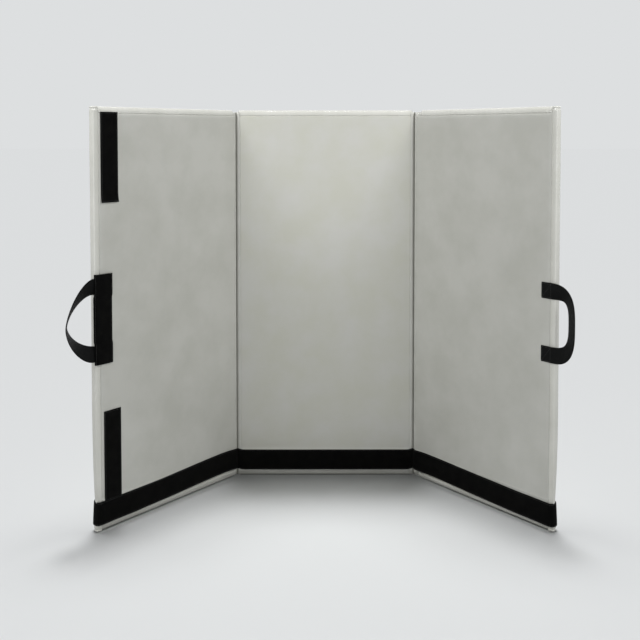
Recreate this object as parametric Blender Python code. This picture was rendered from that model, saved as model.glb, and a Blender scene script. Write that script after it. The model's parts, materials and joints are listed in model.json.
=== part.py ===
"""Three-panel bouldering crash pad, standing open on its foot with both wings folded forward.

Frame: +X to the right across the centre panel, -Y towards the person facing the pad, +Z up.
Origin: middle of the centre panel's foot. Lengths are in metres.

Each panel is a sewn pocket: a front sheet, a back sheet and a padded edge band round a firm
foam sheet and a soft one. A fabric web joins neighbouring panels along each fold. The left wing
closes onto the centre panel first, and the right wing closes over both.
"""
import math
from collections import namedtuple

import bmesh
import bpy
from mathutils import Vector

# Whole pad
PAD_HEIGHT = 1.000
PAD_THICKNESS = 0.026
FOLD_TO_FOLD = 0.480
WING_REACH = 0.472
STANDING_FOLD = math.radians(51.5)

# Cover: coated cloth, drawn in at its seams, with padded edge bands
CLOTH_THICKNESS = 0.0008
SEAM_DIP = 0.002
CROWN_RUN = 0.024
EDGE_ROLL = 0.0145
FOLD_ROLL = 0.0065
CORNER_RADIUS = 0.005
SEAM_CORNER_RADIUS = 0.003
FOOT_FLAT = 0.0005

# Foam
FIRM_FOAM_THICKNESS = 0.010
TOUCH_GAP = 0.0003

# Folds
CREASE_HALF_WIDTH = 0.0023
FOLD_EDGE_GAP = 0.002
FIRST_CLOSING_CLEARANCE = 0.0013
SECOND_CLOSING_CLEARANCE = 0.004
WEB_CREASE_DEPTH = 0.0035
WEB_END_INSET = 0.004
STRIP_FIRST_ANGLE = math.radians(86)
WEB_LAST_ANGLE = math.radians(38)
TAPE_LAST_ANGLE = math.radians(50)
TAPE_CREASE_DEPTH = 0.0015

# Black fastening tape
TAPE_WIDTH = 0.050
TAPE_THICKNESS = 0.0015
FOOT_TAPE_LOWER_EDGE = 0.021
FOOT_TAPE_BACK_ANGLE = math.radians(-75)
PATCH_LENGTH = 0.212
TOP_PATCH_BELOW_TOP = 0.0125
TOP_PATCH_FROM_EDGE = 0.0695
MIDDLE_PATCH_ABOVE_MIDDLE = 0.109
MIDDLE_PATCH_FROM_EDGE = 0.051
MIDDLE_PATCH_RAMP = 0.0095
LOWER_PATCH_FROM_EDGE = 0.0755

# Webbing handles
WEBBING_WIDTH = 0.038
WEBBING_THICKNESS = 0.0018
LEFT_HANDLE_ABOVE_MIDDLE = 0.002
LEFT_HANDLE_SPACING = 0.158
LEFT_HANDLE_REACH = 0.082
LEFT_HANDLE_TWIST = math.radians(53)
LEFT_HANDLE_SQUARENESS = 2.0
LEFT_HANDLE_TUCK = 0.006
RIGHT_HANDLE_BELOW_MIDDLE = 0.005
RIGHT_HANDLE_SPACING = 0.150
RIGHT_HANDLE_REACH = 0.057
RIGHT_HANDLE_TWIST = math.radians(73)
RIGHT_HANDLE_SQUARENESS = 3.5
RIGHT_HANDLE_SEWN_LENGTH = 0.030
RIGHT_HANDLE_ROOT_FROM_EDGE = 0.008
HANDLE_SAG_TO_BACK = 0.006
HANDLE_TWIST_POWER = 0.8

# Facets
ROLL_STEP = math.radians(15)
CORNER_STEPS = 3
HANDLE_STEPS = 24
HANDLE_LOOK_AHEAD_share = 0.25
STEPS_PER_RAISED_END = 3
FOLD_STRIP_STEPS = 4
SHARP_ANGLE = math.radians(40)
MERGE_DIGITS = 7

# How the front sheet rises from its seam to its flat middle
CROWN_RUN_shares = (0, 0.25, 0.6, 1)
CROWN_RISE_shares = (0, 0.55, 0.88, 1)

# Finishes: linear colour and roughness
Finish = namedtuple("Finish", "colour roughness")
GREY_CLOTH = Finish((0.52, 0.52, 0.49), 0.45)
BLACK_TAPE = Finish((0.006, 0.006, 0.006), 0.85)
BLACK_WEBBING = Finish((0.012, 0.013, 0.014), 0.8)
FIRM_FOAM = Finish((0.10, 0.16, 0.27), 0.9)
SOFT_FOAM = Finish((0.62, 0.56, 0.42), 0.9)

# Worked out from the sizes above
HALF_THICKNESS = PAD_THICKNESS / 2
SEAM_HALF_HEIGHT = HALF_THICKNESS - SEAM_DIP
CENTRE_HALF_WIDTH = FOLD_TO_FOLD / 2 - CREASE_HALF_WIDTH
HANDLE_ROOT_STACK = 2 * TOUCH_GAP + WEBBING_THICKNESS + TAPE_THICKNESS
LEFT_AXIS_AHEAD = (HANDLE_ROOT_STACK + FIRST_CLOSING_CLEARANCE) / 2
RIGHT_AXIS_AHEAD = LEFT_AXIS_AHEAD + (PAD_THICKNESS + SECOND_CLOSING_CLEARANCE) / 2
FOAM_SPLIT = HALF_THICKNESS - CLOTH_THICKNESS - TOUCH_GAP - FIRM_FOAM_THICKNESS
FOOT_TAPE_UPPER_EDGE = FOOT_TAPE_LOWER_EDGE + TAPE_WIDTH
TOP_PATCH_UPPER_EDGE = PAD_HEIGHT - TOP_PATCH_BELOW_TOP
MIDDLE_PATCH_UPPER_EDGE = PAD_HEIGHT / 2 + MIDDLE_PATCH_ABOVE_MIDDLE
LEFT_HANDLE_MIDDLE = PAD_HEIGHT / 2 + LEFT_HANDLE_ABOVE_MIDDLE
RIGHT_HANDLE_MIDDLE = PAD_HEIGHT / 2 - RIGHT_HANDLE_BELOW_MIDDLE

Panel = namedtuple("Panel", "name side inner outer inner_roll outer_roll mid_y parent")


def clear_scene():
    for thing in list(bpy.data.objects):
        bpy.data.objects.remove(thing)


def own_material(name, finish):
    """A plain finish for one piece."""
    material = bpy.data.materials.new(name + "_finish")
    material.use_nodes = True
    shader = material.node_tree.nodes["Principled BSDF"]
    shader.inputs["Base Color"].default_value = (*finish.colour, 1)
    shader.inputs["Roughness"].default_value = finish.roughness
    shader.inputs["Metallic"].default_value = 0
    material.diffuse_color = (*finish.colour, 1)
    return material


def fold_axis(name, side, ahead):
    """An empty on a fold's hinge line, turned as the wing stands. ahead is how far the line lies in
    front of both panels' faces, so that a closed wing has room for what lies between."""
    empty = bpy.data.objects.new(name, None)
    foot_to_vertex = ahead * math.tan(STANDING_FOLD / 2)
    empty.location = (side * (FOLD_TO_FOLD / 2 - foot_to_vertex), -HALF_THICKNESS - ahead, 0)
    empty.rotation_euler.z = -side * STANDING_FOLD
    bpy.context.collection.objects.link(empty)
    return empty


def centre_panel():
    return Panel("centre", 1, -CENTRE_HALF_WIDTH, CENTRE_HALF_WIDTH, FOLD_ROLL, FOLD_ROLL, 0, None)


def wing_panel(name, side, ahead, parent):
    """A wing, measured outwards from its fold's hinge line."""
    foot_to_vertex = ahead * math.tan(STANDING_FOLD / 2)
    centre_edge = CENTRE_HALF_WIDTH - (FOLD_TO_FOLD / 2 - foot_to_vertex)
    return Panel(name, side, centre_edge + FOLD_EDGE_GAP, WING_REACH - foot_to_vertex,
                 FOLD_ROLL, EDGE_ROLL, ahead + HALF_THICKNESS, parent)


def place(panel, across, height, forward):
    """A point of a panel: across it from its hinge line, up from the floor, and in front of its
    middle layer."""
    return Vector((panel.side * across, panel.mid_y - forward, height))


def add_piece(name, panel, faces_of_points, finish, thickness=0, offset=-1, swing_axis=None):
    """One object from faces given as lists of points. A thickness turns an open sheet into a solid
    one, inwards from its face unless offset says otherwise. A piece that swings on its panel hangs
    from an empty on its swing axis."""
    mesh = bpy.data.meshes.new(name)
    shape = bmesh.new()
    corners = {}
    for points in faces_of_points:
        loop = []
        for point in points:
            key = point.to_tuple(MERGE_DIGITS)
            if key not in corners:
                corners[key] = shape.verts.new(point)
            if not loop or corners[key] is not loop[-1]:
                loop.append(corners[key])
        if loop[0] is loop[-1]:
            loop.pop()
        if len(loop) > 2:
            shape.faces.new(loop if panel.side > 0 else loop[::-1])
    if not thickness:
        bmesh.ops.recalc_face_normals(shape, faces=shape.faces)
    if swing_axis:
        bmesh.ops.translate(shape, verts=shape.verts, vec=-swing_axis.location)
    shape.to_mesh(mesh)
    shape.free()
    mesh.materials.append(own_material(name, finish))
    mesh.shade_smooth()
    mesh.set_sharp_from_angle(angle=SHARP_ANGLE)
    piece = bpy.data.objects.new(name, mesh)
    piece.parent = swing_axis or panel.parent
    bpy.context.collection.objects.link(piece)
    if thickness:
        cloth = piece.modifiers.new("Cloth thickness", "SOLIDIFY")
        cloth.thickness = thickness
        cloth.offset = offset
        cloth.use_even_offset = True
    return piece


def strips_between(rings, closed):
    """Quads between neighbouring rings of points."""
    faces = []
    count = len(rings[0])
    for lower, upper in zip(rings, rings[1:]):
        for here in range(count if closed else count - 1):
            after = (here + 1) % count
            faces.append([lower[here], lower[after], upper[after], upper[here]])
    return faces


def corner_radius(share):
    """The panel's corner radius, from its outermost line (share 0) in to its seam (share 1)."""
    return CORNER_RADIUS + (SEAM_CORNER_RADIUS - CORNER_RADIUS) * share


def outline(panel, share, extra, stretch=(0, 1, 2, 3)):
    """Points (across, height) round a panel, inset from its outermost line by a share of each
    side's roll and by a further distance. The corners run bottom outer, top outer, top inner,
    bottom inner, and stretch picks some of them."""
    radius = corner_radius(share)
    low = EDGE_ROLL * share + extra - FOOT_FLAT
    high = PAD_HEIGHT - EDGE_ROLL * share - extra
    out = panel.outer - panel.outer_roll * share - extra
    inn = panel.inner + panel.inner_roll * share + extra
    centres = ((out - radius, low + radius), (out - radius, high - radius),
               (inn + radius, high - radius), (inn + radius, low + radius))
    points = []
    for corner in stretch:
        for step in range(CORNER_STEPS + 1):
            turn = math.pi / 2 * (corner - 1 + step / CORNER_STEPS)
            across, height = centres[corner]
            points.append((across + radius * math.cos(turn), height + radius * math.sin(turn)))
    return points


def roll_angles():
    steps = round(math.pi / ROLL_STEP)
    return [math.pi / 2 - step * math.pi / steps for step in range(steps + 1)]


def edge_band(name, panel, stretch, closed, gap_at_ends=0.0):
    """The padded edge of a panel, from its front seam round to its back seam. With a gap its ends
    run on straight, to meet the ends of the side band."""
    rings = []
    for angle in roll_angles():
        share = 1 - math.cos(angle)
        ring = outline(panel, share, 0, stretch)
        if gap_at_ends:
            end = panel.outer - panel.outer_roll * share - corner_radius(share) - gap_at_ends
            ring = [(end, ring[0][1])] + ring + [(end, ring[-1][1])]
        forward = SEAM_HALF_HEIGHT * math.sin(angle)
        rings.append([place(panel, across, max(height, 0), forward) for across, height in ring])
    faces = [face[::-1] for face in strips_between(rings, closed)]
    return add_piece(name, panel, faces, GREY_CLOTH, CLOTH_THICKNESS)


def face_sheet(name, panel, facing):
    """The front (facing 1) or back (facing -1) sheet: flat in its middle, drawn in to its seam."""
    rings = []
    for run, rise in zip(CROWN_RUN_shares, CROWN_RISE_shares):
        forward = facing * (SEAM_HALF_HEIGHT + SEAM_DIP * rise)
        ring = outline(panel, 1, TOUCH_GAP + CROWN_RUN * run)
        rings.append([place(panel, across, height, forward) for across, height in ring])
    faces = strips_between(rings, closed=True) + [rings[-1]]
    if facing < 0:
        faces = [face[::-1] for face in faces]
    return add_piece(name, panel, faces, GREY_CLOTH, CLOTH_THICKNESS)


def foam_sheet(name, panel, facing, finish):
    """One foam layer, filling its half of the cover. The firm layer faces front."""
    split = FOAM_SPLIT + facing * TOUCH_GAP / 2
    inside = SEAM_HALF_HEIGHT - CLOTH_THICKNESS - TOUCH_GAP
    start = math.asin(facing * split / inside)
    angles = [start] + [angle for angle in reversed(roll_angles()) if angle > start + ROLL_STEP / 2]
    rings = []
    for angle in angles:
        extra = CLOTH_THICKNESS * math.cos(angle) + TOUCH_GAP
        rings.append((outline(panel, 1 - math.cos(angle), extra), inside * math.sin(angle)))
    for run, rise in zip(CROWN_RUN_shares[1:], CROWN_RISE_shares[1:]):
        rings.append((outline(panel, 1, TOUCH_GAP + CROWN_RUN * run), inside + SEAM_DIP * rise))
    lowest = CLOTH_THICKNESS + TOUCH_GAP
    solid = [[place(panel, across, max(height, lowest), facing * forward) for across, height in ring]
             for ring, forward in rings]
    faces = strips_between(solid, closed=True) + [solid[0], solid[-1]]
    return add_piece(name, panel, faces, finish)


def build_panel(panel):
    """The cover and the foam of one panel."""
    if panel.parent:
        edge_band(panel.name + "_side_band", panel, (0, 1), closed=False)
        edge_band(panel.name + "_edge_band", panel, (2, 3), closed=False, gap_at_ends=TOUCH_GAP)
    else:
        edge_band(panel.name + "_edge_band", panel, (0, 1, 2, 3), closed=True)
    face_sheet(panel.name + "_front_sheet", panel, 1)
    face_sheet(panel.name + "_back_sheet", panel, -1)
    foam_sheet(panel.name + "_firm_foam", panel, 1, FIRM_FOAM)
    foam_sheet(panel.name + "_soft_foam", panel, -1, SOFT_FOAM)


def route_over_edge(panel, start, lift, length=None, last_angle=None):
    """Points (across, forward) from a place on the front face outwards and round the edge roll, at
    a height above the cover, until a length is used up or an angle is reached."""
    seam = panel.outer - panel.outer_roll
    wide = panel.outer_roll + lift
    deep = HALF_THICKNESS + lift
    stop = -math.pi / 2 if last_angle is None else last_angle
    route = [(start, deep), (seam, deep)]
    steps = math.ceil((math.pi / 2 - stop) / (ROLL_STEP / 2))
    for step in range(1, steps + 1):
        angle = math.pi / 2 - (math.pi / 2 - stop) * step / steps
        route.append((seam + wide * math.cos(angle), deep * math.sin(angle)))
    if length is None:
        return route
    kept = [route[0]]
    left = length
    for here, there in zip(route, route[1:]):
        run = math.dist(here, there)
        if run >= left:
            kept.append(tuple(a + (b - a) * left / run for a, b in zip(here, there)))
            break
        kept.append(there)
        left -= run
    return kept


def tape_piece(name, panel, rows, finish=BLACK_TAPE, thickness=TAPE_THICKNESS):
    """A strip from rows of points, each row one height: [(height, route), ...], lowest first."""
    rings = [[place(panel, across, height, forward) for across, forward in route]
             for height, route in rows]
    return add_piece(name, panel, strips_between(rings, closed=False), finish, thickness, offset=1)


def foot_tape(panel):
    """The tape along a panel's foot. On a wing it runs on round the outer edge to the back seam."""
    inner = panel.inner + panel.inner_roll
    if panel.parent:
        route = route_over_edge(panel, inner, TOUCH_GAP, last_angle=FOOT_TAPE_BACK_ANGLE)
    else:
        level = HALF_THICKNESS + TOUCH_GAP
        route = [(inner, level), (panel.outer - panel.outer_roll, level)]
    tape_piece(panel.name + "_foot_tape", panel,
               [(FOOT_TAPE_LOWER_EDGE, route), (FOOT_TAPE_UPPER_EDGE, route)])


def flat_patch(name, panel, from_edge, lower, upper):
    level = HALF_THICKNESS + TOUCH_GAP
    inner = panel.outer - from_edge
    route = [(inner, level), (inner + TAPE_WIDTH, level)]
    tape_piece(name, panel, [(lower, route), (upper, route)])


def middle_patch(panel):
    """The patch that holds the left handle's roots down: it rises over each root."""
    start = panel.outer - MIDDLE_PATCH_FROM_EDGE
    upper = MIDDLE_PATCH_UPPER_EDGE
    lower = upper - PATCH_LENGTH
    rest = TOUCH_GAP
    raised = 2 * TOUCH_GAP + WEBBING_THICKNESS
    half_spacing = LEFT_HANDLE_SPACING / 2
    half_root = WEBBING_WIDTH / 2 + TOUCH_GAP
    ramp = MIDDLE_PATCH_RAMP
    inner_top = LEFT_HANDLE_MIDDLE + half_spacing - half_root
    inner_bottom = LEFT_HANDLE_MIDDLE - half_spacing + half_root
    levels = [(lower, raised), (inner_bottom, raised)]
    for step in range(1, STEPS_PER_RAISED_END + 1):
        share = step / STEPS_PER_RAISED_END
        levels.append((inner_bottom + ramp * share, raised + (rest - raised) * share))
    for step in range(STEPS_PER_RAISED_END + 1):
        share = 1 - step / STEPS_PER_RAISED_END
        levels.append((inner_top - ramp * share, raised + (rest - raised) * share))
    levels.append((upper, raised))
    last = edge_angle_after(panel, start, TAPE_WIDTH)
    rows = [(height, route_over_edge(panel, start, lift, last_angle=last)) for height, lift in levels]
    tape_piece(panel.name + "_middle_patch", panel, rows)


def edge_angle_after(panel, start, length):
    """Where round the edge roll a strip of that length ends."""
    end = route_over_edge(panel, start, TOUCH_GAP, length=length)[-1]
    seam = panel.outer - panel.outer_roll
    wide = panel.outer_roll + TOUCH_GAP
    deep = HALF_THICKNESS + TOUCH_GAP
    return math.atan2(end[1] / deep, (end[0] - seam) / wide)


def handle_route(panel, root, middle, spacing, reach, squareness, root_level, twist):
    """Stations along a handle's loop: (centre, width direction), each in across, height, forward."""
    half = spacing / 2
    stations = []
    power = 2 / squareness

    def centre_at(turn):
        out = math.sin(turn) ** power
        up = math.copysign(abs(math.cos(turn)) ** power, math.cos(turn))
        return Vector((root + reach * out, middle + half * up,
                       root_level - HANDLE_SAG_TO_BACK * math.sin(turn)))

    for step in range(HANDLE_STEPS + 1):
        turn = math.pi * step / HANDLE_STEPS
        sliver = math.pi / HANDLE_STEPS * HANDLE_LOOK_AHEAD_share
        before = centre_at(max(turn - sliver, 0))
        after = centre_at(min(turn + sliver, math.pi))
        along = (after - before).normalized()
        in_plane = Vector((-along.y, along.x, 0)).normalized()
        lean = twist * math.sin(turn) ** HANDLE_TWIST_POWER
        width = in_plane * math.cos(lean) + Vector((0, 0, 1)) * math.sin(lean)
        stations.append((centre_at(turn), width))
    return stations


def handle_loop(panel, stations):
    """The free part of a handle, one length of webbing that turns on itself between its roots. It
    swings on the upright line through both roots."""
    swing_axis = bpy.data.objects.new(panel.name + "_handle_axis", None)
    root = stations[0][0]
    swing_axis.location = place(panel, root.x, 0, root.z)
    swing_axis.parent = panel.parent
    bpy.context.collection.objects.link(swing_axis)
    rings = []
    for centre, width in stations:
        edges = (centre - width * WEBBING_WIDTH / 2, centre + width * WEBBING_WIDTH / 2)
        rings.append([place(panel, point.x, point.y, point.z) for point in edges])
    return add_piece(panel.name + "_handle_loop", panel, strips_between(rings, closed=False),
                     BLACK_WEBBING, WEBBING_THICKNESS, offset=0, swing_axis=swing_axis)


def left_handle(panel):
    """Its roots pass under the middle patch and leave at the patch's outer edge."""
    start = panel.outer - MIDDLE_PATCH_FROM_EDGE
    last = edge_angle_after(panel, start, TAPE_WIDTH)
    lift = TOUCH_GAP
    seam = panel.outer - panel.outer_roll
    for end, sign in (("upper", 1), ("lower", -1)):
        height = LEFT_HANDLE_MIDDLE + sign * LEFT_HANDLE_SPACING / 2
        route = route_over_edge(panel, start + LEFT_HANDLE_TUCK, lift, last_angle=last)
        tape_piece(panel.name + "_handle_" + end + "_root", panel,
                   [(height - WEBBING_WIDTH / 2, route), (height + WEBBING_WIDTH / 2, route)],
                   BLACK_WEBBING, WEBBING_THICKNESS)
    middle_lift = lift + WEBBING_THICKNESS / 2
    root = seam + (panel.outer_roll + middle_lift) * math.cos(last) + WEBBING_THICKNESS
    level = (HALF_THICKNESS + middle_lift) * math.sin(last)
    stations = handle_route(panel, root, LEFT_HANDLE_MIDDLE, LEFT_HANDLE_SPACING, LEFT_HANDLE_REACH,
                            LEFT_HANDLE_SQUARENESS, level, LEFT_HANDLE_TWIST)
    handle_loop(panel, stations)


def right_handle(panel):
    """Its roots are sewn flat on the front face."""
    root = panel.outer - RIGHT_HANDLE_ROOT_FROM_EDGE
    start = root - RIGHT_HANDLE_SEWN_LENGTH
    level = HALF_THICKNESS + TOUCH_GAP
    for end, sign in (("upper", 1), ("lower", -1)):
        height = RIGHT_HANDLE_MIDDLE + sign * RIGHT_HANDLE_SPACING / 2
        route = [(start, level), (root - TOUCH_GAP, level)]
        tape_piece(panel.name + "_handle_" + end + "_root", panel,
                   [(height - WEBBING_WIDTH / 2, route), (height + WEBBING_WIDTH / 2, route)],
                   BLACK_WEBBING, WEBBING_THICKNESS)
    stations = handle_route(panel, root, RIGHT_HANDLE_MIDDLE, RIGHT_HANDLE_SPACING, RIGHT_HANDLE_REACH,
                            RIGHT_HANDLE_SQUARENESS, level + WEBBING_THICKNESS / 2, RIGHT_HANDLE_TWIST)
    handle_loop(panel, stations)


def wing_to_world(wing, across, forward):
    """A wing's point as (x, y) while it stands."""
    x = wing.side * across
    y = wing.mid_y - forward
    turn = wing.parent.rotation_euler.z
    return Vector((wing.parent.location.x + x * math.cos(turn) - y * math.sin(turn),
                   wing.parent.location.y + x * math.sin(turn) + y * math.cos(turn)))


def fold_strip(name, centre, wing, level, last_angle, crease, thickness, heights, finish):
    """A strip across a fold while the wing stands: over the centre panel's rounded edge, back into
    the crease and out over the wing's edge. level is its height above the edge bands."""
    wide = FOLD_ROLL + level
    deep = SEAM_HALF_HEIGHT + level
    centre_side = []
    wing_side = []
    for step in range(FOLD_STRIP_STEPS + 1):
        angle = STRIP_FIRST_ANGLE + (last_angle - STRIP_FIRST_ANGLE) * step / FOLD_STRIP_STEPS
        run = wide * math.cos(angle)
        forward = deep * math.sin(angle)
        centre_side.append(Vector((wing.side * (centre.outer - FOLD_ROLL + run), -forward)))
        wing_side.append(wing_to_world(wing, wing.inner + FOLD_ROLL - run, forward))
    middle = (centre_side[-1] + wing_side[-1]) / 2
    across = (wing_side[-1] - centre_side[-1]).normalized()
    back = Vector((-across.y, across.x)) * wing.side
    points = centre_side + [middle + back * crease] + wing_side[::-1]
    low, high = heights
    world = Panel(name, 1, 0, 0, 0, 0, 0, None)
    rings = [[Vector((point.x, point.y, height)) for point in points] for height in (low, high)]
    faces = strips_between(rings, closed=False)
    if wing.side < 0:
        faces = [face[::-1] for face in faces]
    return add_piece(name, world, faces, finish, thickness, offset=1)


def build_folds(centre, wing):
    """The web along one fold, and the stretch of foot tape that crosses it."""
    seam_height = EDGE_ROLL + WEB_END_INSET
    fold_strip(wing.name + "_fold_web", centre, wing, TOUCH_GAP, WEB_LAST_ANGLE, WEB_CREASE_DEPTH,
               CLOTH_THICKNESS, (seam_height, PAD_HEIGHT - seam_height), GREY_CLOTH)
    tape_level = HALF_THICKNESS - SEAM_HALF_HEIGHT + TOUCH_GAP
    fold_strip(wing.name + "_fold_tape", centre, wing, tape_level, TAPE_LAST_ANGLE, TAPE_CREASE_DEPTH,
               TAPE_THICKNESS, (FOOT_TAPE_LOWER_EDGE, FOOT_TAPE_UPPER_EDGE), BLACK_TAPE)


def build_pad():
    clear_scene()
    centre = centre_panel()
    left_axis = fold_axis("left_fold_axis", -1, LEFT_AXIS_AHEAD)
    right_axis = fold_axis("right_fold_axis", 1, RIGHT_AXIS_AHEAD)
    left = wing_panel("left", -1, LEFT_AXIS_AHEAD, left_axis)
    right = wing_panel("right", 1, RIGHT_AXIS_AHEAD, right_axis)
    for panel in (centre, left, right):
        build_panel(panel)
        foot_tape(panel)
    top_patch_lower = TOP_PATCH_UPPER_EDGE - PATCH_LENGTH
    flat_patch("left_top_patch", left, TOP_PATCH_FROM_EDGE, top_patch_lower, TOP_PATCH_UPPER_EDGE)
    lower_patch_foot = FOOT_TAPE_UPPER_EDGE + TOUCH_GAP
    flat_patch("left_lower_patch", left, LOWER_PATCH_FROM_EDGE, lower_patch_foot,
               lower_patch_foot + PATCH_LENGTH)
    middle_patch(left)
    left_handle(left)
    right_handle(right)
    build_folds(centre, left)
    build_folds(centre, right)


build_pad()
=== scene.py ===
# %% [markdown]
# # A folding crash pad in three panels
# The pad is a row of three thin cushions, sewn side by side so that they fold like a screen. It
# stands on its foot here, with both wings turned towards the viewer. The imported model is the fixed
# frame: it says where every sewn piece lies and about which lines the pad folds. This script
# dresses that frame. Each step first says what the piece is on the real pad and how it could be
# made.

# %% Load the fixed frame
import json
import math
from collections import namedtuple

import bmesh
import bpy
import numpy as np
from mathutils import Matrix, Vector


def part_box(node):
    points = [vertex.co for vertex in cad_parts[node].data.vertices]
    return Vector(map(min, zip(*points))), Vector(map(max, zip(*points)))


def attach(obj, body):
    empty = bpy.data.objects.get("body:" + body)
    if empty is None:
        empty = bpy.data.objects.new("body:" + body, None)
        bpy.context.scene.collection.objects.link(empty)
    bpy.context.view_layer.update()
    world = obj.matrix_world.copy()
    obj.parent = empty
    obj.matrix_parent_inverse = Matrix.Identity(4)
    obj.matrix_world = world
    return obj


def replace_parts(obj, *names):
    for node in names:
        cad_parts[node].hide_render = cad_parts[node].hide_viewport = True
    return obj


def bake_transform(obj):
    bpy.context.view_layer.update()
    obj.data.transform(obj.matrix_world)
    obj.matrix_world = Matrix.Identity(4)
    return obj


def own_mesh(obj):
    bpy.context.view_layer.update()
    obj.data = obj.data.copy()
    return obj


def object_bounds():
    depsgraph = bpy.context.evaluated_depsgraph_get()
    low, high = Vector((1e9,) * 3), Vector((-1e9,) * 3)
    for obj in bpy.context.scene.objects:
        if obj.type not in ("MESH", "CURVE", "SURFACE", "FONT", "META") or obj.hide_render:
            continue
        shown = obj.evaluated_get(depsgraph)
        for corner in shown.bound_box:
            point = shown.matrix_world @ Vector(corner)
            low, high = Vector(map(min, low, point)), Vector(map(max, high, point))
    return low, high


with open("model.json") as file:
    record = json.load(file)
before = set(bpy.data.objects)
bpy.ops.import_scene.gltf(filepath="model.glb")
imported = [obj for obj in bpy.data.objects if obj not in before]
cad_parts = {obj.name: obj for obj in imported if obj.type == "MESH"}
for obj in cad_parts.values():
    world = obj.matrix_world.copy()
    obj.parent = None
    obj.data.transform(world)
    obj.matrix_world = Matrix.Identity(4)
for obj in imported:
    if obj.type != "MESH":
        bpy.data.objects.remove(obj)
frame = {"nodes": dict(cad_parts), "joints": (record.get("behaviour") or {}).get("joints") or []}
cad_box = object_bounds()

MM = 0.001
print("frame size in mm:", [round((high - low) / MM) for low, high in zip(*cad_box)])

# %% [markdown]
# ## The camera
# The photograph was taken level with the top of the pad through a long lens. Its upright edges stay
# parallel, so the camera hardly tilts, and the lens is shifted down instead to take in the feet.
# The numbers come from fitting eight corners of the pad.

# %% Camera
PHOTO_SIZE = 640
CAMERA_PLACE = (0.0013, -2.5186, 0.934)
CAMERA_TILT_DOWN = math.radians(2.34)
CAMERA_TURN = -0.0013
LENS_MM = 52.1
OPTICAL_CENTRE = (326.9, 172.6)

camera_data = bpy.data.cameras.new("level_camera")
camera_data.lens = LENS_MM
camera_data.shift_x = (PHOTO_SIZE / 2 - OPTICAL_CENTRE[0]) / PHOTO_SIZE
camera_data.shift_y = (OPTICAL_CENTRE[1] - PHOTO_SIZE / 2) / PHOTO_SIZE
camera = bpy.data.objects.new("level_camera", camera_data)
camera.location = CAMERA_PLACE
camera.rotation_euler = (math.pi / 2 - CAMERA_TILT_DOWN, 0, CAMERA_TURN)
bpy.context.scene.collection.objects.link(camera)
bpy.context.scene.camera = camera
bpy.context.scene.view_settings.view_transform = "Standard"
print("lens shift:", round(camera_data.shift_x, 4), round(camera_data.shift_y, 4))

# %% [markdown]
# ## Node helper and colours
# Every finish here is a small node graph. One helper adds a node, sets its values and links its
# inputs, so that a graph reads as a list of steps. Colours are written as sRGB hex, the way a
# colour picker gives them, and turned to linear light once.

# %% Helpers for materials
def linear(hex_colour):
    """An sRGB hex colour as linear red, green, blue, alpha."""
    channels = [int(hex_colour[i:i + 2], 16) / 255 for i in (1, 3, 5)]
    return (*[c / 12.92 if c <= 0.04045 else ((c + 0.055) / 1.055) ** 2.4 for c in channels], 1)


def add_node(tree, kind, inputs=None, **settings):
    """One node. inputs maps a socket's name or number to a value or to another node's output."""
    node = tree.nodes.new(kind)
    for key, value in settings.items():
        setattr(node, key, value)
    for key, value in (inputs or {}).items():
        if isinstance(value, bpy.types.NodeSocket):
            tree.links.new(value, node.inputs[key])
        else:
            node.inputs[key].default_value = value
    return node


def new_material(name):
    """A material with a Principled shader: (material, node tree, shader)."""
    material = bpy.data.materials.new(name)
    material.use_nodes = True
    return material, material.node_tree, material.node_tree.nodes["Principled BSDF"]


# %% [markdown]
# ## Floor and backdrop
# The studio is one pale sweep with no line between floor and wall. The floor is a large matt plane,
# and the world shows the same colour to the camera, while it lights the pad at a lower level. A
# paint without any shine scatters all its light, so the floor looks even from every side and keeps
# only the pad's shadow.

# %% Floor and world
PALE_GREY = "#DDDFE0"
WORLD_LEVEL = 0.12
FLOOR_REACH = 60.0

floor_mesh = bpy.data.meshes.new("studio_floor")
corners = [(x * FLOOR_REACH, y * FLOOR_REACH, 0) for x, y in ((-1, -1), (1, -1), (1, 1), (-1, 1))]
floor_mesh.from_pydata(corners, [], [(0, 1, 2, 3)])
floor = bpy.data.objects.new("studio_floor", floor_mesh)
bpy.context.scene.collection.objects.link(floor)
floor_paint, tree, shader = new_material("matt_studio_paint")
shader.inputs["Base Color"].default_value = linear(PALE_GREY)
shader.inputs["Roughness"].default_value = 1.0
shader.inputs["Specular IOR Level"].default_value = 0.0
floor_mesh.materials.append(floor_paint)

world = bpy.data.worlds.new("pale_studio")
bpy.context.scene.world = world
world.use_nodes = True
tree = world.node_tree
seen = add_node(tree, "ShaderNodeLightPath")
mirrored = add_node(tree, "ShaderNodeMath", {0: seen.outputs["Is Glossy Ray"],
                                              1: seen.outputs["Is Transmission Ray"]},
                    operation="MAXIMUM")
shown = add_node(tree, "ShaderNodeMath", {0: seen.outputs["Is Camera Ray"], 1: mirrored.outputs[0]},
                 operation="MAXIMUM")
lights = tree.nodes["Background"]
lights.inputs["Color"].default_value = (1, 1, 1, 1)
lights.inputs["Strength"].default_value = WORLD_LEVEL
backdrop = add_node(tree, "ShaderNodeBackground", {"Color": linear(PALE_GREY), "Strength": 1.0})
either = add_node(tree, "ShaderNodeMixShader", {0: shown.outputs[0], 1: lights.outputs[0],
                                               2: backdrop.outputs[0]})
tree.links.new(either.outputs[0], tree.nodes["World Output"].inputs["Surface"])
print("floor and backdrop:", PALE_GREY)

# %% [markdown]
# ## Lamps
# Four soft lamps shine from above and a little behind the pad, so that its shadow ends a hand's
# width in front of the centre panel. In the studio they hang close, and their rays run along the
# wings, which so cast little shadow. These lamps are far away and even, so one of them is set to
# pass the wings once they are made. They aren't mirrored in the cloth, where they would be seen as
# small bright discs.

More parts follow.
